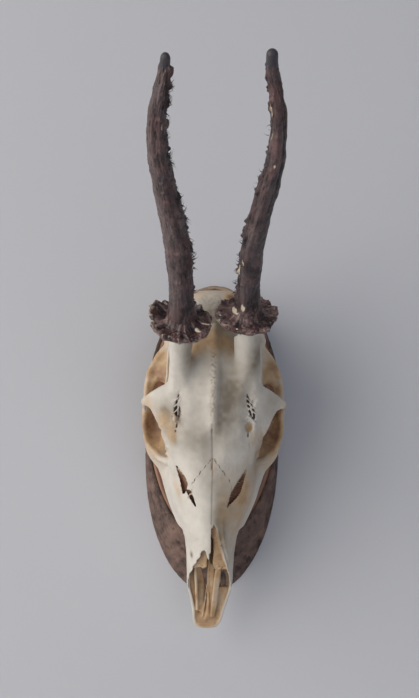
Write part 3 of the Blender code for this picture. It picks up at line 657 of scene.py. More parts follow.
def outward(body, points, axes=grid):
    """The way out of the body at each point: the slope of its distance."""
    reach = GRID_STEP * 1.2
    ahead, behind = (np.column_stack([sample(body, points + way * axis, axes) for axis in np.eye(3)])
                     for way in (reach, -reach))
    return unit(ahead - behind)


def through(body, points, axes=grid):
    """Whether the body's skin passes through the grid cell round each point: corners of both signs."""
    cell = [np.clip(((p - axis[0]) / GRID_STEP).astype(np.int64), 0, len(axis) - 2)
            for p, axis in zip(points.T, axes)]
    corners = [body[tuple(c + (k >> n & 1) for n, c in enumerate(cell))] for k in range(8)]
    return (np.min(corners, axis=0) < 0) & (np.max(corners, axis=0) >= 0)


def shelter(body, points, out):
    """How much bone stands round a place, 0 to 1: how far the distance lags behind on the way out."""
    lag = [np.clip(1 - sample(body, points + out * reach) / reach, 0, 1.5) for reach in (1.2, 2.6, 5)]
    return clamp(sum(lag) / 3)


# Where fat, skin and blood have stained the bone: centre and radii in skull coordinates, and how strongly.
# The spots on the right of the snout and on the inner side of the left stalk are partly real stain and partly
# painted shade, on sides turned from the window.
STAINS = (
    ((-0.5, -31, 76), (12, 9, 12), 0.66), ((-12.6, -26, 80), (3.4, 9, 9), 0.55),
    ((-10, -27, 79), (2, 3, 6), 0.5), ((9.8, -29, 79), (1.4, 5, 6), 0.55),
    ((8.4, -21.6, 78), (1.6, 1.6, 5), 0.45), ((10, -62, 60), (3, 3.5, 4), 1.1),
    ((0, 138, 6), (12, 8, 9), 0.42), ((0, 124, 12), (11, 16, 10), 0.12), ((37, 17, 31), (10, 17, 13), 1.1),
    ((-37, 17, 31), (10, 17, 13), 1.1), ((36, -20, 38), (15, 19, 12), 0.6),
    ((-36, -22, 38), (15, 20, 14), 0.62), ((34.5, -5, 32), (5, 8, 8), 0.4),
    ((-33.5, -15, 36), (4.4, 7, 8), 0.4), ((8, 58, 54), (7, 22, 10), 0.26),
    ((12, 84, 38), (7, 24, 16), 0.3), ((20, 60, 40), (8, 26, 18), 0.42), ((-41, 4, 55), (6, 6, 6), 0.3),
    ((-31.6, 16, 57), (4, 7, 6), 0.4), ((-27, 16, 60), (4, 12, 6), 0.3),
    ((21, 19.4, 62.6), (2.4, 3, 3), 0.6), ((30, 21, 56), (4, 11, 6), 0.3),
    ((-18.4, 52, 43.6), (5, 10, 4), 0.6), ((18.4, 52, 46), (5, 10, 4), 0.3),
    ((-6, 112, 21), (3, 14, 5), 0.3), ((-24, 24, 60), (3, 8, 5), 0.3), ((24, 26, 60), (3.4, 9, 5), 0.25),
    ((-22.8, 16, 68), (2.4, 4, 3), 0.3), ((0, 40, 62), (2.5, 10, 5), 0.22), ((0, -64, 56), (26, 7, 8), 0.3),
    ((22, 50, 6), (8, 40, 6), 0.35), ((-22, 50, 6), (8, 40, 6), 0.35), ((0, -8, 78), (2.2, 26, 5), 0.16),
    ((44, 4, 48), (3, 4, 7), 0.6), ((29, 33, 46), (5, 5, 6), 0.3), ((-29, 33, 46), (5, 5, 6), 0.26),
    ((4.4, 116, 22), (1.8, 16, 3.6), -0.2), ((-8.5, 112, 23.4), (1.1, 12, 3), -0.26),
    ((17.8, -33, 92), (9, 4, 6), 0.2), ((-19, -30, 91), (9, 3.4, 5), 0.14))
# Where it is less bleached and stays grey, and painted shade: many spots darken sides turned from the window,
# the right sides of both stalks, the right of the forehead and snout, the lower brow and small holes.
DULLED = (
    ((0, 4, 76), (23, 26, 16), 0.28), ((-10, 31, 67), (9, 15, 9), 0.5), ((11, 30, 67), (9, 15, 9), 0.2),
    ((0, 50, 58), (7, 12, 7), 0.4), ((0, -50, 70), (24, 17, 16), 0.85), ((0, -31, 77), (13, 9, 12), 0.85),
    ((-30, 11, 60), (6, 7, 8), 0.6), ((24.5, -24, 80), (4, 13, 10), 0.5), ((12, 8, 75), (9, 16, 9), 0.5),
    ((-11.6, 94, 37), (1.2, 2, 2), 1), ((-22.6, 26.4, 59), (2.4, 3.6, 4), 0.9),
    ((-24, 21, 62), (3, 5, 4), 0.35), ((16, -10, 77), (7, 16, 8), 0.2), ((34, 2, 58), (9, 8, 8), 0.55),
    ((9, 64, 50), (9, 17, 10), 0.5), ((-27, 14, 61), (4.6, 13, 8), 0.85),
    ((5, 76, 46), (4.4, 26, 12), 0.85), ((26, 40, 38), (8, 13, 12), 0.6),
    ((-15.4, -24, 85), (4, 11, 12), 0.75), ((23, -24, 84), (4.4, 14, 13), 0.8),
    ((8, 0, 77), (8, 20, 9), 0.35), ((-19, 22, 66), (6, 9, 7), 0.35), ((2, 22, 72), (5, 10, 6), 0.3),
    ((30, 30, 48), (6, 10, 10), 0.5))


def marks(points, table):
    """All the spots of a table together: the sum of strength times spot at each point."""
    return sum(strength * spot(points, centre, radii) for centre, radii, strength in table)


def stained(points, covered):
    """How tan the bone is, 0 to 1: the spots above, and more where it is sheltered, partly as painted shade
    in recesses, broken up by noise.
    """
    amount = marks(points, STAINS)
    inside = clamp(-sample(case, points) - 0.9) * (points[:, 1] > 38)
    inside = inside * np.interp(points[:, 1], (60, 76, 98, 112, 128), (0.8, 0.7, 0.5, 0.42, 0.38))
    patchy = 1 + 0.35 * lumps(points, 5, 1) + 0.2 * lumps(points, 1.7, 2)
    return clamp((amount * (0.8 + 0.6 * covered) + inside) * patchy + 0.05 * lumps(points, 9, 3))


AMOUNT, UNDER, OVER, MIXED = 0, 6, 7, 2  # the sockets of a Mix node that mixes colours


def layered(tree, colour, layers):
    """Colours laid over a first one, each by what drives it: an attribute or a texture. A layer may say
    between which two values of its driver it fades in, and how strong it gets."""
    colour = linear(colour)
    for driver, tint, *fade in layers:
        if isinstance(driver, str):
            driver = add_node(tree, "Attribute", attribute_name=driver)
        low, high, strength = fade or (0.0, 1.0, 1.0)
        amount = add_node(tree, "MapRange", {"Value": (driver, "Fac"), "From Min": low, "From Max": high,
                                             "To Max": strength})
        mix = {AMOUNT: (amount, "Result"), UNDER: colour, OVER: linear(tint)}
        colour = (add_node(tree, "Mix", mix, data_type="RGBA"), MIXED)
    return colour


def bleached_bone():
    """Boiled and whitened bone: cream, clouded, greyer where it is less bleached, tan to brown where it is
    stained, with painted shade in recesses, in the pits of porous bone and on sides turned from the window.
    It has a low sheen, and a grain of 0.4 mm pores drawn out along the bone."""
    material, tree, place = new_material("bleached_bone")
    cloud = add_node(tree, "TexNoise", {"Vector": place, "Scale": 90.0, "Detail": 5.0, "Roughness": 0.6})
    # Painted shade: the sheltered-hollow layer darkens recesses, the grey layer also darkens sides turned
    # from the window, and the seam layer darkens the pits of porous bone as well as the seams.
    colour = layered(tree, "#DBD6CD", (
        (cloud, "#CAC5BC", 0.35, 0.7, 1.0), ("dull", "#8A7F6F"), ("stain", "#C5A680", 0.05, 0.5, 1.0),
        ("stain", "#86614F", 0.45, 1.0, 1.0), ("recess", "#74574A", 0.3, 1.0, 0.45), ("seam", "#3A2C22")))
    drawn_out = add_node(tree, "Mapping", {"Vector": place, "Scale": (1.0, 1.0, 0.3)})
    grain = add_node(tree, "TexNoise", {"Vector": (drawn_out, "Vector"), "Scale": 900.0, "Detail": 4.0})
    pits = add_node(tree, "TexVoronoi", {"Vector": place, "Scale": 700.0})
    pores = add_node(tree, "MapRange", {"Value": (pits, "Distance"), "From Max": 0.25})
    relief = add_node(tree, "Mix", {"Factor": 0.35, "A": (grain, "Fac"), "B": (pores, "Result")})
    finish_material(tree, (relief, "Result"), 0.35, 0.0003, {"Base Color": colour, "Roughness": 0.5,
                                                             "IOR": 1.5, "Specular IOR Level": 0.35})
    return material


def mirrored_sides(region, apart=0.0):
    """A region given for u over 0, and the same for u under 0, which stand this far off the middle."""
    return {"right": lambda u, f, h: np.maximum(region(u, f, h), apart - u),
            "left": lambda u, f, h: np.maximum(region(-u, f, h), u + apart)}


def wavy(a, b, size):
    """A small wave along a seam, of two lengths."""
    return size * (np.sin(a * 1.7 + b * 0.4) + 0.6 * np.sin(a * 4.1 + 1.3))


# Where each bone lies, as a region that is under 0 inside it: its edges follow the real seams, with a wave.
def of_premaxilla(u, f, h):
    return 92 - 0.3 * np.maximum(h - 20, 0) - f + wavy(h, u, 0.4)


def of_nasal(u, f, h):
    side = np.interp(f, (37, 52, 75, 100), (9, 11.8, 11.2, 9.6)).reshape(f.shape)
    behind = 37.5 + 1.25 * np.abs(u) + wavy(u, f, 0.35) - f
    return np.maximum(np.maximum(u - side, behind), 57 - 0.314 * (f - 41) - h)


def of_cheek_arch(u, f, h):
    over = np.maximum(np.maximum(h - 50, (h - 50 + 0.78 * (f - 12)) * 0.79), -24 - f + wavy(h, u, 0.3))
    ends = np.maximum(f - 44, (8 - f - 0.85 * (h + 20)) * 0.7)
    return np.maximum(np.maximum(over, 34 - u + wavy(f, h, 0.3)), ends)


def of_frontal(u, f, h):
    behind = np.maximum(-28.5 - f, -(f + 28.5) * 0.77 - (h - 72) * 0.64)
    behind = np.where(h < 72, -28.5 - f, behind) + wavy(u, h, 0.3)
    ahead = f - 58 + 1.57 * np.maximum(np.abs(u) - 11, 0) + wavy(u, f, 0.25)
    under = np.interp(f, (-30, 4, 34, 60), (52, 46, 42, 50)).reshape(f.shape) - h
    return np.maximum(np.maximum(behind, ahead * 0.7), under)


def of_maxilla(u, f, h):
    return 11 + wavy(h, u, 0.3) - f


def whole(points, faces):
    """Keeps the largest of the separate shells. To find them, every point takes the lowest number among
    those it is joined to."""
    label = np.arange(len(points))
    ends = np.vstack([faces[:, [0, 1]], faces[:, [1, 2]], faces[:, [2, 3]]])
    while True:
        least = np.minimum(label[ends[:, 0]], label[ends[:, 1]])
        after = label.copy()
        np.minimum.at(after, ends[:, 0], least)
        np.minimum.at(after, ends[:, 1], least)
        after = after[after]
        if (after == label).all():
            break
        label = after
    kept = label == np.bincount(label).argmax()
    number = np.cumsum(kept) - 1
    return points[kept], number[faces[kept[faces[:, 0]]]]


bone_material = bleached_bone()
SAW = 0.015  # half of the gap between two bones
NOSE_BEND = 0.0029  # how fast the tip of the nose turns to the left, in mm for each square of a mm along it
SHARP_ANGLE = math.radians(65)
cuts = np.full_like(skull, -9)


def lay(piece, name, slot, **values):
    """Gives a piece its attributes, hangs it on the root body, and hides the part of the solid that it stands
    for.
    """
    for key, value in values.items():
        attribute = piece.data.attributes.new(key, "FLOAT", "POINT")
        attribute.data.foreach_set("value", np.asarray(value, np.float32))
    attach(piece, "root")
    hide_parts(name)


def saw(name, region, low, high, slot):
    """Takes a region out of what is left of the skull and makes it a bone of its own."""
    part, place = near(grid, low, high)
    edge = region(*place).astype(np.float32)
    make_bone(name, np.maximum(cuts[part], edge + SAW), part, slot)
    cuts[part] = np.maximum(cuts[part], SAW - edge)


def make_bone(name, limits, part, slot):
    """The bone within its limits. Points near its skin are drawn on to it, and those near a seam on to
    that seam."""
    axes = [axis[cut] for axis, cut in zip(grid, part)]
    points, faces = whole(*skin(np.maximum(skull[part], limits), axes))
    on_skin, at_seam = through(skull, points), through(limits, points, axes)
    for _ in range(2):
        across = outward(limits, points, axes)
        points = points - across * (sample(limits, points, axes) * at_seam)[:, None]
        out = outward(skull, points)
        points = points - out * (sample(skull, points) * on_skin)[:, None]
    # Painted shade: the more bone stands round a point, the darker the material paints it, and the more tan
    # it adds there.
    recess = shelter(skull, points, out)
    stain = stained(points, recess)
    u, f, h = points.T
    ridge = np.exp(-((u + 0.8) / 1.7) ** 2) * clamp((f + 28) / 6) * clamp((19 - f) / 4) * (h > 60)
    crown = 0.4 * clamp((-42 - f) / 6) * clamp((h - 58) / 6)
    pitted = (ridge + crown) * lumps(points, 0.8, 7)
    rough = 0.10 * lumps(points, 3.2, 4) + 0.06 * lumps(points, 1.3, 5) + 0.5 * pitted
    points = points + out * (rough * on_skin)[:, None]
    points[:, 0] -= NOSE_BEND * np.clip(f - 115, 0, None) ** 2
    bone = new_mesh(name, hung(points), faces[:, ::-1], bone_material)
    bone.data.set_sharp_from_angle(angle=SHARP_ANGLE)
    off_crack = u + np.clip(0.9 - 0.03 * (f - 19), 0.1, 1)
    crack = np.exp(-(off_crack / 0.45) ** 2) * (f > 19) * (f < 76) * (h > 44)
    crack = crack * np.interp(f, (40, 50), (1, 0.7))
    away = f - 37.5 - 1.25 * np.abs(u) - wavy(np.abs(u), f, 0.35)
    dashes = (h > 50) * (u > -12.5) * (u < 7.5) * clamp(0.4 + 2.2 * lumps(points, 1.5, 8))
    seam = np.maximum(0.5 * crack, 0.72 * dashes * np.exp(-(away / 0.5) ** 2))
    # The pits of the porous ridge and crown darken with the seams, as painted shade.
    seam = np.maximum(seam, 0.5 * clamp(-pitted * 1.8 - 0.1))
    # Grey where the bone is less bleached, and painted shade on the sides turned from the window.
    dull = marks(points, DULLED) * (1 + 0.22 * lumps(points, 6, 9) + 0.22 * lumps(points, 2.5, 10))
    lay(bone, name, slot, stain=stain, recess=recess, seam=clamp(seam), dull=clamp(dull))


for side, region in mirrored_sides(of_premaxilla).items():
    saw("premaxilla_" + side, region, (-16, 76, -3), (16, 143, 60), "nose_bone")
for side, region in mirrored_sides(of_nasal, 0.03).items():
    saw("nasal_" + side, region, (-14, 36, 30), (14, 110, 68), "skull_bone")
for side, region in mirrored_sides(of_cheek_arch).items():
    saw("cheek_arch_" + side, region, (-47, -27, 5), (47, 46, 54), "skull_bone")
saw("frontal", of_frontal, (-47, -60, 38), (47, 64, 111), "skull_bone")
for side, region in mirrored_sides(of_maxilla).items():
    saw("maxilla_" + side, region, (-47, 8, -3), (47, 112, 66), "skull_bone")
make_bone("braincase", cuts, (slice(None),) * 3, "skull_bone")

# ---- Antlers ----
# Two spikes without tines, still in dried velvet: a dark hairy skin, shrunk on to the antler's lengthwise
# furrows, torn to shreds on the inner sides and peeled off to the cream antler in a few slits. The tips are
# bare, blunt and worn smooth.

BEAMS = {
    "right": ((17.4, -36.5, 99.5, 14.6), (17.3, -50.5, 120, 13.6), (17.9, -63, 139.4, 13.2),
              (20.2, -73.7, 156.4, 12.4), (23.6, -83, 173, 11.6), (26.2, -91.7, 189.4, 9.8),
              (25.9, -99.2, 204.3, 8.6), (23.4, -106.3, 218.9, 7.2), (21, -110.5, 228, 6.6),
              (20.2, -114.4, 236.5, 6)),
    "left": ((-19.6, -31.8, 98, 15), (-19.6, -48, 121, 14.2), (-20.6, -61.6, 140.5, 14.2),
             (-23.4, -72, 157.2, 13), (-27, -81.4, 173.9, 11.4), (-29.4, -90.1, 190.3, 10),
             (-29.9, -97.4, 204.7, 8.8), (-27.6, -104.7, 219.8, 7.2), (-25.4, -108.9, 228.8, 6),
             (-24.5, -112, 235.8, 5.2))}


def beam_frame(beam, at):
    """At places along a beam: its middle and radius, the way ahead, and the ways to the right and to the
    front in the picture."""
    columns, knots = np.array(beam).T, np.arange(len(beam))
    middle = np.column_stack([flowing(at, knots, column) for column in columns[:3]])
    radius = flowing(at, knots, columns[3]) / 2
    ahead = unit(np.gradient(middle, axis=0))
    right = unit(np.array((1, 0, 0)) - ahead * ahead[:, :1])
    return middle, radius, ahead, right, np.cross(ahead, right)


def ring_faces(rows, columns):
    """Quads between rows of points that each close on themselves, and strips of quads over the first and
    the last row."""
    i, j = np.meshgrid(np.arange(rows - 1), np.arange(columns), indexing="ij")
    k = (j + 1) % columns
    sides = np.stack([i * columns + j, i * columns + k, (i + 1) * columns + k, (i + 1) * columns + j], -1)
    j = np.arange(columns // 2 - 1)
    lid = np.stack([j, j + 1, columns - 2 - j, columns - 1 - j], 1)
    return np.vstack([sides.reshape(-1, 4), lid[:, ::-1], lid + (rows - 1) * columns])


def dried_velvet():
    """Dried velvet: dull brown-black skin with redder and greyer patches, cream where it has peeled, bare
    grey-brown tips. It has painted shade in its furrows, lighter streaks where rubbed with painted highlight
    on raised fibres, and painted light on the left antler's side that is turned to the window. Fibres of 0.5
    mm run along it in the mesh; this adds skin grain."""
    material, tree, place = new_material("dried_velvet")
    patch = add_node(tree, "TexNoise", {"Vector": place, "Scale": 110.0, "Detail": 6.0, "Roughness": 0.65})
    ashy = add_node(tree, "TexNoise", {"Vector": place, "Scale": 45.0, "Detail": 4.0})
    # Painted light and shade: the hollow layer is painted shade in the furrows, and the worn layer is partly
    # wear and partly painted light.
    colour = layered(tree, "#2F2529", (
        (patch, "#694F4E", 0.38, 0.62, 1.0), (ashy, "#4C4348", 0.5, 0.68, 0.7), ("hollow", "#1E1514"),
        ("worn", "#6C5E5C"), ("tip", "#3F3C42"), ("peel", "#D8CBB4")))
    grain = add_node(tree, "TexNoise", {"Vector": place, "Scale": 1600.0, "Detail": 5.0})
    finish_material(tree, (grain, "Fac"), 0.5, 0.0004, {"Base Color": colour, "Roughness": 0.42, "IOR": 1.45,
                                                        "Sheen Weight": 0.1, "Sheen Roughness": 0.5})
    return material


def streaks(angle, s, size, stretch, seed):
    """Noise drawn out along a beam: angle round it in radians, s along it and the size in millimetres."""
    return lumps(np.column_stack([6 * np.cos(angle), 6 * np.sin(angle), s / stretch]), size, seed)


def turned_from(a, degrees):
    """How far angles in radians are turned from others in degrees: -180 to 180 degrees."""
    return (np.degrees(a) - degrees + 180) % 360 - 180


def spoke(right, front, a):
    """The way out of a beam at an angle round it in radians: right cos(a) + front sin(a)."""
    return right * np.cos(a)[:, None] + front * np.sin(a)[:, None]


# Slits where the velvet has peeled: side, height h, angle round the beam in degrees, half of length and turn.
PEELED = (
    ("right", 214.5, 141, 5, 8), ("right", 203, 153, 4, 7), ("right", 191, 99, 0.9, 6),
    ("right", 138.6, 132, 1.2, 8), ("right", 131, 165, 2.4, 8), ("right", 115.4, 112, 1.6, 9),
    ("right", 110.6, 148, 1.2, 10), ("left", 135.6, 0, 2, 9), ("left", 207, 51, 1.6, 5))
BARE_TIP = 7.6  # how much of each tip the velvet has left, in millimetres
velvet = dried_velvet()
rings, around = ((440, 200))
for number, (side, beam) in enumerate(BEAMS.items()):
    is_left = side == "left"
    at = np.linspace(0.1, 9, rings)
    middle, radius, ahead, right, front = beam_frame(beam, at)
    middle += ahead * (1.3 * clamp((at - 8.4) / 0.6) ** 2)[:, None]
    s = np.concatenate([[0], np.cumsum(np.linalg.norm(np.diff(middle, axis=0), axis=1))])
    length = s[-1]
    a, s = (values.ravel() for values in np.meshgrid(whole_turn(around), s))
    fur = partial(streaks, a, s)
    seed = 10 + 8 * number
    tip = clamp((s - (length - BARE_TIP) + 3 * fur(3, 1, seed + 7)) / 1.2)
    rough = 1 - 0.9 * tip
    # Its relief: furrows with one long crest, fibres, and scabs on the inner side.
    furrow = (1 if is_left else 0.75) * (0.6 * fur(3.4, 7, seed) + 0.34 * fur(1.6, 4, seed + 1))
    furrow += 0.5 * fur(5, 1.6, seed + 9)
    from_crest = turned_from(a, (76 if is_left else 104) + 9 * np.sin(s / 23))
    crest = clamp(1 - np.abs(from_crest) / 38) * clamp(s / 20) * clamp((length - s) / 30)
    furrow += (0.8 if is_left else 1.6) * (crest - 0.2)
    fibre = 0.22 * fur(0.7, 4, seed + 2) + 0.15 * fur(0.45, 1, seed + 3)
    inner = np.cos(a - (0 if is_left else np.pi)) * 0.5 + 0.5
    scab = clamp(fur(2.2, 1.2, seed + 4) - 0.25) * 1.6 * (0.3 + inner)
    # Its size: flared at the foot, and closed at the tip as half a ball is.
    flare = 1 + 0.32 * clamp(1 - s / 26) ** 2
    end = clamp((length - s) / 2.6)
    base = np.repeat(radius, around) * flare - 0.15 - 0.35 * tip
    base = base * np.sqrt(np.maximum(1 - (1 - end) ** 2, 0.004))
    out = base + (furrow + fibre + scab) * rough * np.minimum(end + 0.05, 1)
    way = spoke(np.repeat(right, around, 0), np.repeat(front, around, 0), a)
    points = np.repeat(middle, around, 0) + way * out[:, None]
    peel = np.zeros(len(points))
    for owner, height, turn, half_long, half_turn in PEELED:
        if owner == side:
            reach = ((points[:, 2] - height) / half_long) ** 2 + (turned_from(a, turn) / half_turn) ** 2
            peel = np.maximum(peel, clamp((1.3 - reach - 0.8 * fur(1.4, 2, seed + 5)) * 4))
    points -= way * (0.5 * peel)[:, None]
    bare = tip * clamp(1 + 0.4 * fur(4, 2, seed + 6))
    # Lighter streaks of rubbed velvet and grey near the tip, with painted highlight on the raised fibres.
    worn = np.maximum(0.3 * tip * clamp(fur(2, 1, seed + 6)),
                      np.clip(fur(2.4, 6, seed + 8) + 1.2 * fibre - 0.2, 0, 0.8))
    # On the left antler: painted light on its left side, which faces the window.
    if is_left:
        rubbed = np.clip(0.3 - 0.5 * np.cos(a), 0, 0.6) * clamp(0.8 + fur(4, 5, 60))
        worn = np.maximum(worn, rubbed)
    # Painted shade in the furrows and between the fibres.
    hollow = np.clip(-(furrow + fibre * 2.4 - 0.1) * 0.8 * rough, 0, 0.92)
    antler = new_mesh("antler_" + side, hung(points), ring_faces(rings, around)[:, ::-1], velvet)
    lay(antler, "antler_" + side, "antler_velvet", peel=peel, worn=worn, hollow=hollow, tip=bare)

# ---- Shreds of the velvet ----
# Dried threads and flakes of torn velvet, 1 to 3 mm long, that stand out from the inner side of each antler.
# Each is a bent three-sided spike, and all of one side are one piece.


def spikes(roots, ways, leans, lengths, widths, steps=4):
    """Thin spikes: at t from 0 to 1 the middle is root + length (way t + lean t^2), and the radius is
    width (1.02 - t)."""
    t = np.linspace(0, 1, steps)[None, :, None, None]
    across = unit(np.cross(ways, np.roll(leans, 1, axis=1) + 0.01))
    other = np.cross(ways, across)
    turn = whole_turn(3)
    ring = (across[:, None] * np.cos(turn)[:, None] + other[:, None] * np.sin(turn)[:, None])[:, None]
    bend = ways[:, None, None] * t + leans[:, None, None] * t ** 2
    middle = roots[:, None, None] + lengths[:, None, None, None] * bend
    points = middle + ring * widths[:, None, None, None] * (1.02 - t)
    faces = ring_faces(steps, 3)[None] + 3 * steps * np.arange(len(roots))[:, None, None]
    return points.reshape(-1, 3), faces.reshape(-1, 4)


# How many per millimetre along each antler, by height h: they hang together in a few places.
SHREDS = {
    "left": ((100, 0.3), (131, 0.8), (133, 3), (139, 2.6), (141, 0.8), (152, 0.8), (154, 2.4), (157, 2.4),
             (159, 0.6), (163, 0.6), (165, 2.6), (168, 2), (170, 0.3), (184, 0.3), (186, 2.6), (190, 2.4),
             (192, 0.3), (203, 0.5), (206, 2), (209, 1.6), (214, 1), (216, 3), (223, 3), (226, 0.3),
             (229, 0)),
    "right": ((100, 0.3), (127, 0.4), (129, 1.6), (130, 1.6), (132, 0.3), (143, 0.3), (145, 1.2), (147, 0.2),
              (221, 0.1), (223, 0))}
for number, (side, beam) in enumerate(BEAMS.items()):
    chance = np.random.default_rng(5 + number)
    at = chance.uniform(0.3, 8.3, 900)
    middle, radius, ahead, right, front = beam_frame(beam, np.sort(at))
    dense = np.interp(middle[:, 2], *zip(*SHREDS[side])) / 3.6
    kept = chance.uniform(0, 1, len(dense)) < dense
    middle, radius, ahead, right, front = (values[kept] for values in (middle, radius, ahead, right, front))
    count = len(middle)
    a = chance.normal(0 if side == "left" else np.pi, 0.55, count)
    way = spoke(right, front, a)
    roots = middle + way * (radius * 0.97 + 0.1)[:, None]
    lean = ahead * (chance.uniform(-0.5, 0.5, count) + 0.9 * np.sign(np.sin(middle[:, 2] * 0.8)))[:, None]
    points, faces = spikes(roots, way, lean, chance.uniform(0.7, 2.3, count) ** 1.4,
                           chance.uniform(0.2, 0.5, count))
    shreds = new_mesh("velvet_shreds_" + side, hung(points), faces[:, ::-1], velvet)
    skin_map = shreds.data.uv_layers.new(name="OFBake")
    unwrapped = np.column_stack([(a / (2 * np.pi)) % 1, np.linspace(0.02, 0.98, count)])
    step, turn = np.divmod(np.arange(12), 3)
    patch = 0.0015 * np.column_stack([turn - 1, step / 1.5 - 1])
    place = (unwrapped[:, None] + patch[None]).reshape(-1, 2)
    skin_map.data.foreach_set("uv", place[faces[:, ::-1].ravel()].ravel().astype(np.float32))
    none = np.zeros(len(points))
    # The shreds get an even share of the dark crease colour, a darker tone all over.
    lay(shreds, "antler_" + side, "antler_velvet", peel=none, worn=none, tip=none, hollow=none + 0.4)

# ---- Coronets ----
# The burr at the foot of each antler: a ragged collar of beads and ribs that flares from the beam like a
# shallow bowl, in the same dried velvet, with cream bone where the skin has broken off its edge.


def horny_burr():
    """Dried velvet on hard beads: purple-black with a dull gloss, painted shade between the ribs, mauve on
    the crests and bead tops, partly where it is rubbed and partly as painted highlight, and cream where it
    has come off."""
    material, tree, place = new_material("horny_burr")
    patch = add_node(tree, "TexNoise", {"Vector": place, "Scale": 240.0, "Detail": 5.0, "Roughness": 0.6})
    # Painted shade in the hollows between the ribs, and painted highlight with some wear on the crests.
    colour = layered(tree, "#2B1F23", (
        (patch, "#654845", 0.4, 0.62, 1.0), ("worn", "#927A75"), ("hollow", "#150E10"), ("peel", "#D8CBB4")))
    grain = add_node(tree, "TexNoise", {"Vector": place, "Scale": 1200.0, "Detail": 4.0})
    finish_material(tree, (grain, "Fac"), 0.4, 0.0003, {"Base Color": colour, "Roughness": 0.3, "IOR": 1.5})
    return material


def closed(a, table):
    """A smooth curve round the beam through (degrees, value) pairs, which meets itself after a whole turn."""
    turns, values = zip(*table)
    return flowing(np.degrees(a), [turns[-1] - 360, *turns, 360], [values[-1], *values, values[0]])


burr_material = horny_burr()
# Radius of the collar at angles round the beam, in degrees: to the picture's right is 0, its front 90.
COLLARS = {"left": ((0, 16.4), (40, 17.6), (90, 16.8), (140, 16.6), (180, 17.4), (215, 18), (270, 14.5),
                    (320, 13.5)),
           "right": ((0, 16.4), (40, 16.8), (90, 15.2), (140, 16.2), (180, 17.2), (220, 14.5), (270, 13.5),
                     (320, 15))}
# How far the collar's edge lifts towards the antler's tip, at such angles.
LIFTS = {"left": ((0, 1.5), (40, 0), (90, 0), (135, 0.5), (175, 3), (205, 6), (240, 2.5), (290, 2), (325, 4)),
         "right": ((0, 0.8), (40, 0), (90, 0), (140, 0), (180, 0.8), (215, 2), (290, 1), (325, 1.5))}
# How many crumbs of bare bone the edge shows, and larger bare patches: angle, place on the profile, sizes.
CRUMBS = {"left": ((0, 0.4), (60, 0.2), (110, 0.5), (135, 1.2), (210, 1.2), (240, 0.5), (360, 0.4)),
          "right": ((0, 0.9), (60, 0.5), (130, 0.5), (180, 1), (230, 0.8), (360, 0.9))}
PATCHES = {"left": ((232, 0.48, 4, 0.05), (16, 0.42, 2, 0.1), (44, 0.38, 5, 0.06)),
           "right": ((151, 0.1, 25, 0.055), (114, 0.56, 2, 0.02), (168, 0.48, 3, 0.02))}
# Across the collar: up the inside of the bowl from the beam, over the rim, and back under it to the stalk.
# The place on this profile from 0 to 1, how far out it is, and how high.
PROFILE = ((0, 7.0, 13), (0.12, 8.2, 9.6), (0.3, 10.8, 6.6), (0.45, 14.0, 5.6), (0.56, 16.2, 5.4),
           (0.62, 17, 4.2), (0.7, 16.4, 2.4), (0.82, 12.5, 1.0), (1.0, 6.5, 0.4))
RIM = 17  # the collar's radius in this profile
rings, around = ((200, 420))
a = np.tile(whole_turn(around), rings)
t = np.repeat(np.linspace(0, 1, rings), around)
knots, *sizes = zip(*PROFILE)
reach, level = (flowing(t, knots, values) for values in sizes)
spread = clamp((reach - 7) / 10)
on_rim = np.column_stack([RIM * np.cos(a), RIM * np.sin(a), 26 * t])
for number, (side, beam) in enumerate(BEAMS.items()):
    middle, _, ahead, right, front = (v[:1] for v in beam_frame(beam, np.array([0.0, 0.2])))
    seed = 40 + 10 * number
    crest = 1 - 2.6 * np.abs(streaks(a, t * 2.4, 1.5, 1, seed))
    ribs = 0.75 * crest + streaks(a, t * 5, 0.9, 1, seed + 1) * 0.5
    beads = clamp(lumps(on_rim, 1.9, seed + 2))
    fine = lumps(on_rim, 0.8, seed + 3)
    wide = 1 + (closed(a, COLLARS[side]) / RIM - 1) * spread
    out = reach * wide + spread ** 1.5 * (1.5 * ribs + 0.8 * beads + 0.3 * fine)
    rise = level + spread * (1.1 * ribs * (t < 0.7) + 0.7 * beads + 0.3 * fine)
    rise = np.maximum(rise, 0.15) + clamp(spread * 1.5 - 0.4) * closed(a, LIFTS[side])
    points = middle + spoke(right, front, a) * out[:, None] + ahead * rise[:, None]
    peel = clamp(lumps(points, 1.3, seed + 4) * 2.4 - 1) * clamp(spread * 3 - 2)
    peel = peel * np.interp(np.degrees(a), *zip(*CRUMBS[side]))
    for turn, where, wide_spot, long_spot in PATCHES[side]:
        off = (turned_from(a, turn) / wide_spot) ** 2 + ((t - where) / long_spot) ** 2
        peel = np.maximum(peel, clamp((1.1 - off - 0.9 * lumps(points, 1.8, seed + 5)) * 4))
    # Painted shade between the ribs, and painted highlight on crests and bead tops, partly rubbed velvet.
    hollow = np.clip(-(ribs + 0.8 * fine) * 1.1, 0, 0.92)
    worn = clamp(crest * 1.3 - 0.6 + 0.9 * beads + 0.6 * fine) * 0.75
    coronet = new_mesh("coronet_" + side, hung(points), ring_faces(rings, around), burr_material)
    lay(coronet, "coronet_" + side, "antler_velvet", peel=peel, worn=worn, hollow=hollow)

# ---- Log slice ----
# The plaque: a long oval slice cut aslant from a branch, so its face lies higher than its back and its growth
# rings are drawn out. The face is sanded and varnished, and the rough bark is left round its edge.

SLICE_THICKNESS = 22.0
SLICE_RISE = 27.0  # how much higher the face lies than the back
BARK_THICKNESS = 2.6


def oval(t, angle, inset):
    """A place on the edge of the slice: t from 0 at the back to 1 at the face. Sizes in millimetres."""
    wide = 46.6 - inset
    high = 94 - 5 * t - inset
    depth = np.full(len(angle), -SLICE_THICKNESS * t)
    return np.column_stack([wide * np.cos(angle), depth, SLICE_RISE * t + high * np.sin(angle)])


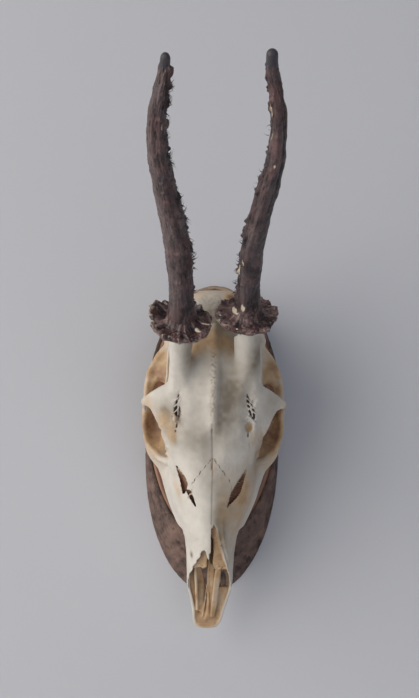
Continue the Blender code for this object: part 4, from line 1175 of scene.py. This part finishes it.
def grown_wood():
    """Varnished wood, brown-orange, with stretched growth rings about 2.5 mm wide and darker blotches."""
    material, tree, place = new_material("varnished_slice")
    moved = {"Vector": place, "Location": (0.0, 0.0, -0.012), "Scale": (1.0, 1.0, 0.5)}
    squeezed = (add_node(tree, "Mapping", moved), "Vector")
    waves = {"Vector": squeezed, "Scale": 65.0, "Distortion": 3.5, "Detail": 3.0, "Detail Scale": 1.5}
    rings = add_node(tree, "TexWave", waves, wave_type="RINGS", rings_direction="Y")
    blotch = add_node(tree, "TexNoise", {"Vector": place, "Scale": 40.0, "Detail": 5.0})
    colour = layered(tree, "#97684A", ((rings, "#7E543B"), (blotch, "#69422E", 0.45, 0.75, 0.75)))
    finish_material(tree, (rings, "Fac"), 0.2, 0.0003, {"Base Color": colour, "Roughness": 0.4, "IOR": 1.5,
                                                        "Coat Weight": 0.35, "Coat Roughness": 0.25})
    return material


def rough_bark():
    """Bark: grey-brown with pinkish and dark mottles of 3 to 10 mm, dry and matt, with painted shade where it
    is pushed in. At the top it is pale cream, painted light on the top edge of the slice."""
    material, tree, place = new_material("rough_bark")
    mottle = add_node(tree, "TexNoise", {"Vector": place, "Scale": 130.0, "Detail": 6.0, "Roughness": 0.7})
    pink = add_node(tree, "TexNoise", {"Vector": place, "Scale": 60.0, "Detail": 3.0})
    # Painted shade in the hollows of the bark, and painted light on its top edge.
    colour = layered(tree, "#4D403D", (
        (mottle, "#826A60", 0.35, 0.65, 1.0), (pink, "#8B7166", 0.52, 0.7, 0.7), ("hollow", "#2E2422"),
        ("worn", "#BFA68C")))
    grain = add_node(tree, "TexNoise", {"Vector": place, "Scale": 900.0, "Detail": 6.0})
    finish_material(tree, (grain, "Fac"), 0.6, 0.0006, {"Base Color": colour, "Roughness": 0.9})
    return material


# Rows of the core, from the middle of its back out over the edge to the middle of its face: t, and size.
around = 480
angle = whole_turn(around)
sizes = np.linspace(0.02, 1, 26)
rows = [*[(0, size) for size in sizes], *[(t, 1) for t in np.linspace(0.05, 0.97, 14)],
        *[(1, size) for size in sizes[::-1]]]
points = []
for t, size in rows:
    ring = oval(t, angle, BARK_THICKNESS + 0.15)
    middle = np.array((0, -SLICE_THICKNESS * t, SLICE_RISE * t))
    points.append(middle + (ring - middle) * size)
slice_wood = new_mesh("slice_wood", np.vstack(points) / 1000, ring_faces(len(rows), around), grown_wood())
lay(slice_wood, "slice_wood", "slice_wood")

# The bark: out over its back edge, up its rough outer side, over its face edge, and down against the wood.
around, rising = ((900, 40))
angle = whole_turn(around)
steps = [(0, BARK_THICKNESS, 0), (0, 1.2, 0), *[(t, 0, 1) for t in np.linspace(0, 1, rising)], (1, 1.2, 0),
         (1, BARK_THICKNESS, 0), (0.5, BARK_THICKNESS, 0), (0, BARK_THICKNESS, 0)]
out = np.column_stack([np.cos(angle), np.zeros(around), np.sin(angle)])
points, hollow, worn = [], [], []
for t, inset, coat in steps:
    ring = oval(t, angle, inset)
    coarse = lumps(ring, 7, 61) * 0.7 + lumps(ring, 3, 62) * 0.75 + lumps(ring, 1.3, 63) * 0.4
    rounded = min(1, 12 * t + 0.2, 12 * (1 - t) + 0.3)
    points.append(ring + out * (coat * (np.clip(coarse, -1.5, 0.4) - 0.45) * rounded)[:, None])
    # Painted shade where the bark is pushed in, and painted light along the top of the slice.
    hollow.append(np.clip(-coarse * 0.85, 0, 0.8))
    worn.append(clamp((ring[:, 2] - 108 + 4 * coarse) / 4) * (0.9 - 0.5 * abs(t - 0.5)))
faces = ring_faces(len(steps), around)[:(len(steps) - 1) * around]
bark = new_mesh("slice_bark", np.vstack(points) / 1000, faces, rough_bark())
lay(bark, "slice_bark", "slice_bark", hollow=np.concatenate(hollow), worn=np.concatenate(worn))
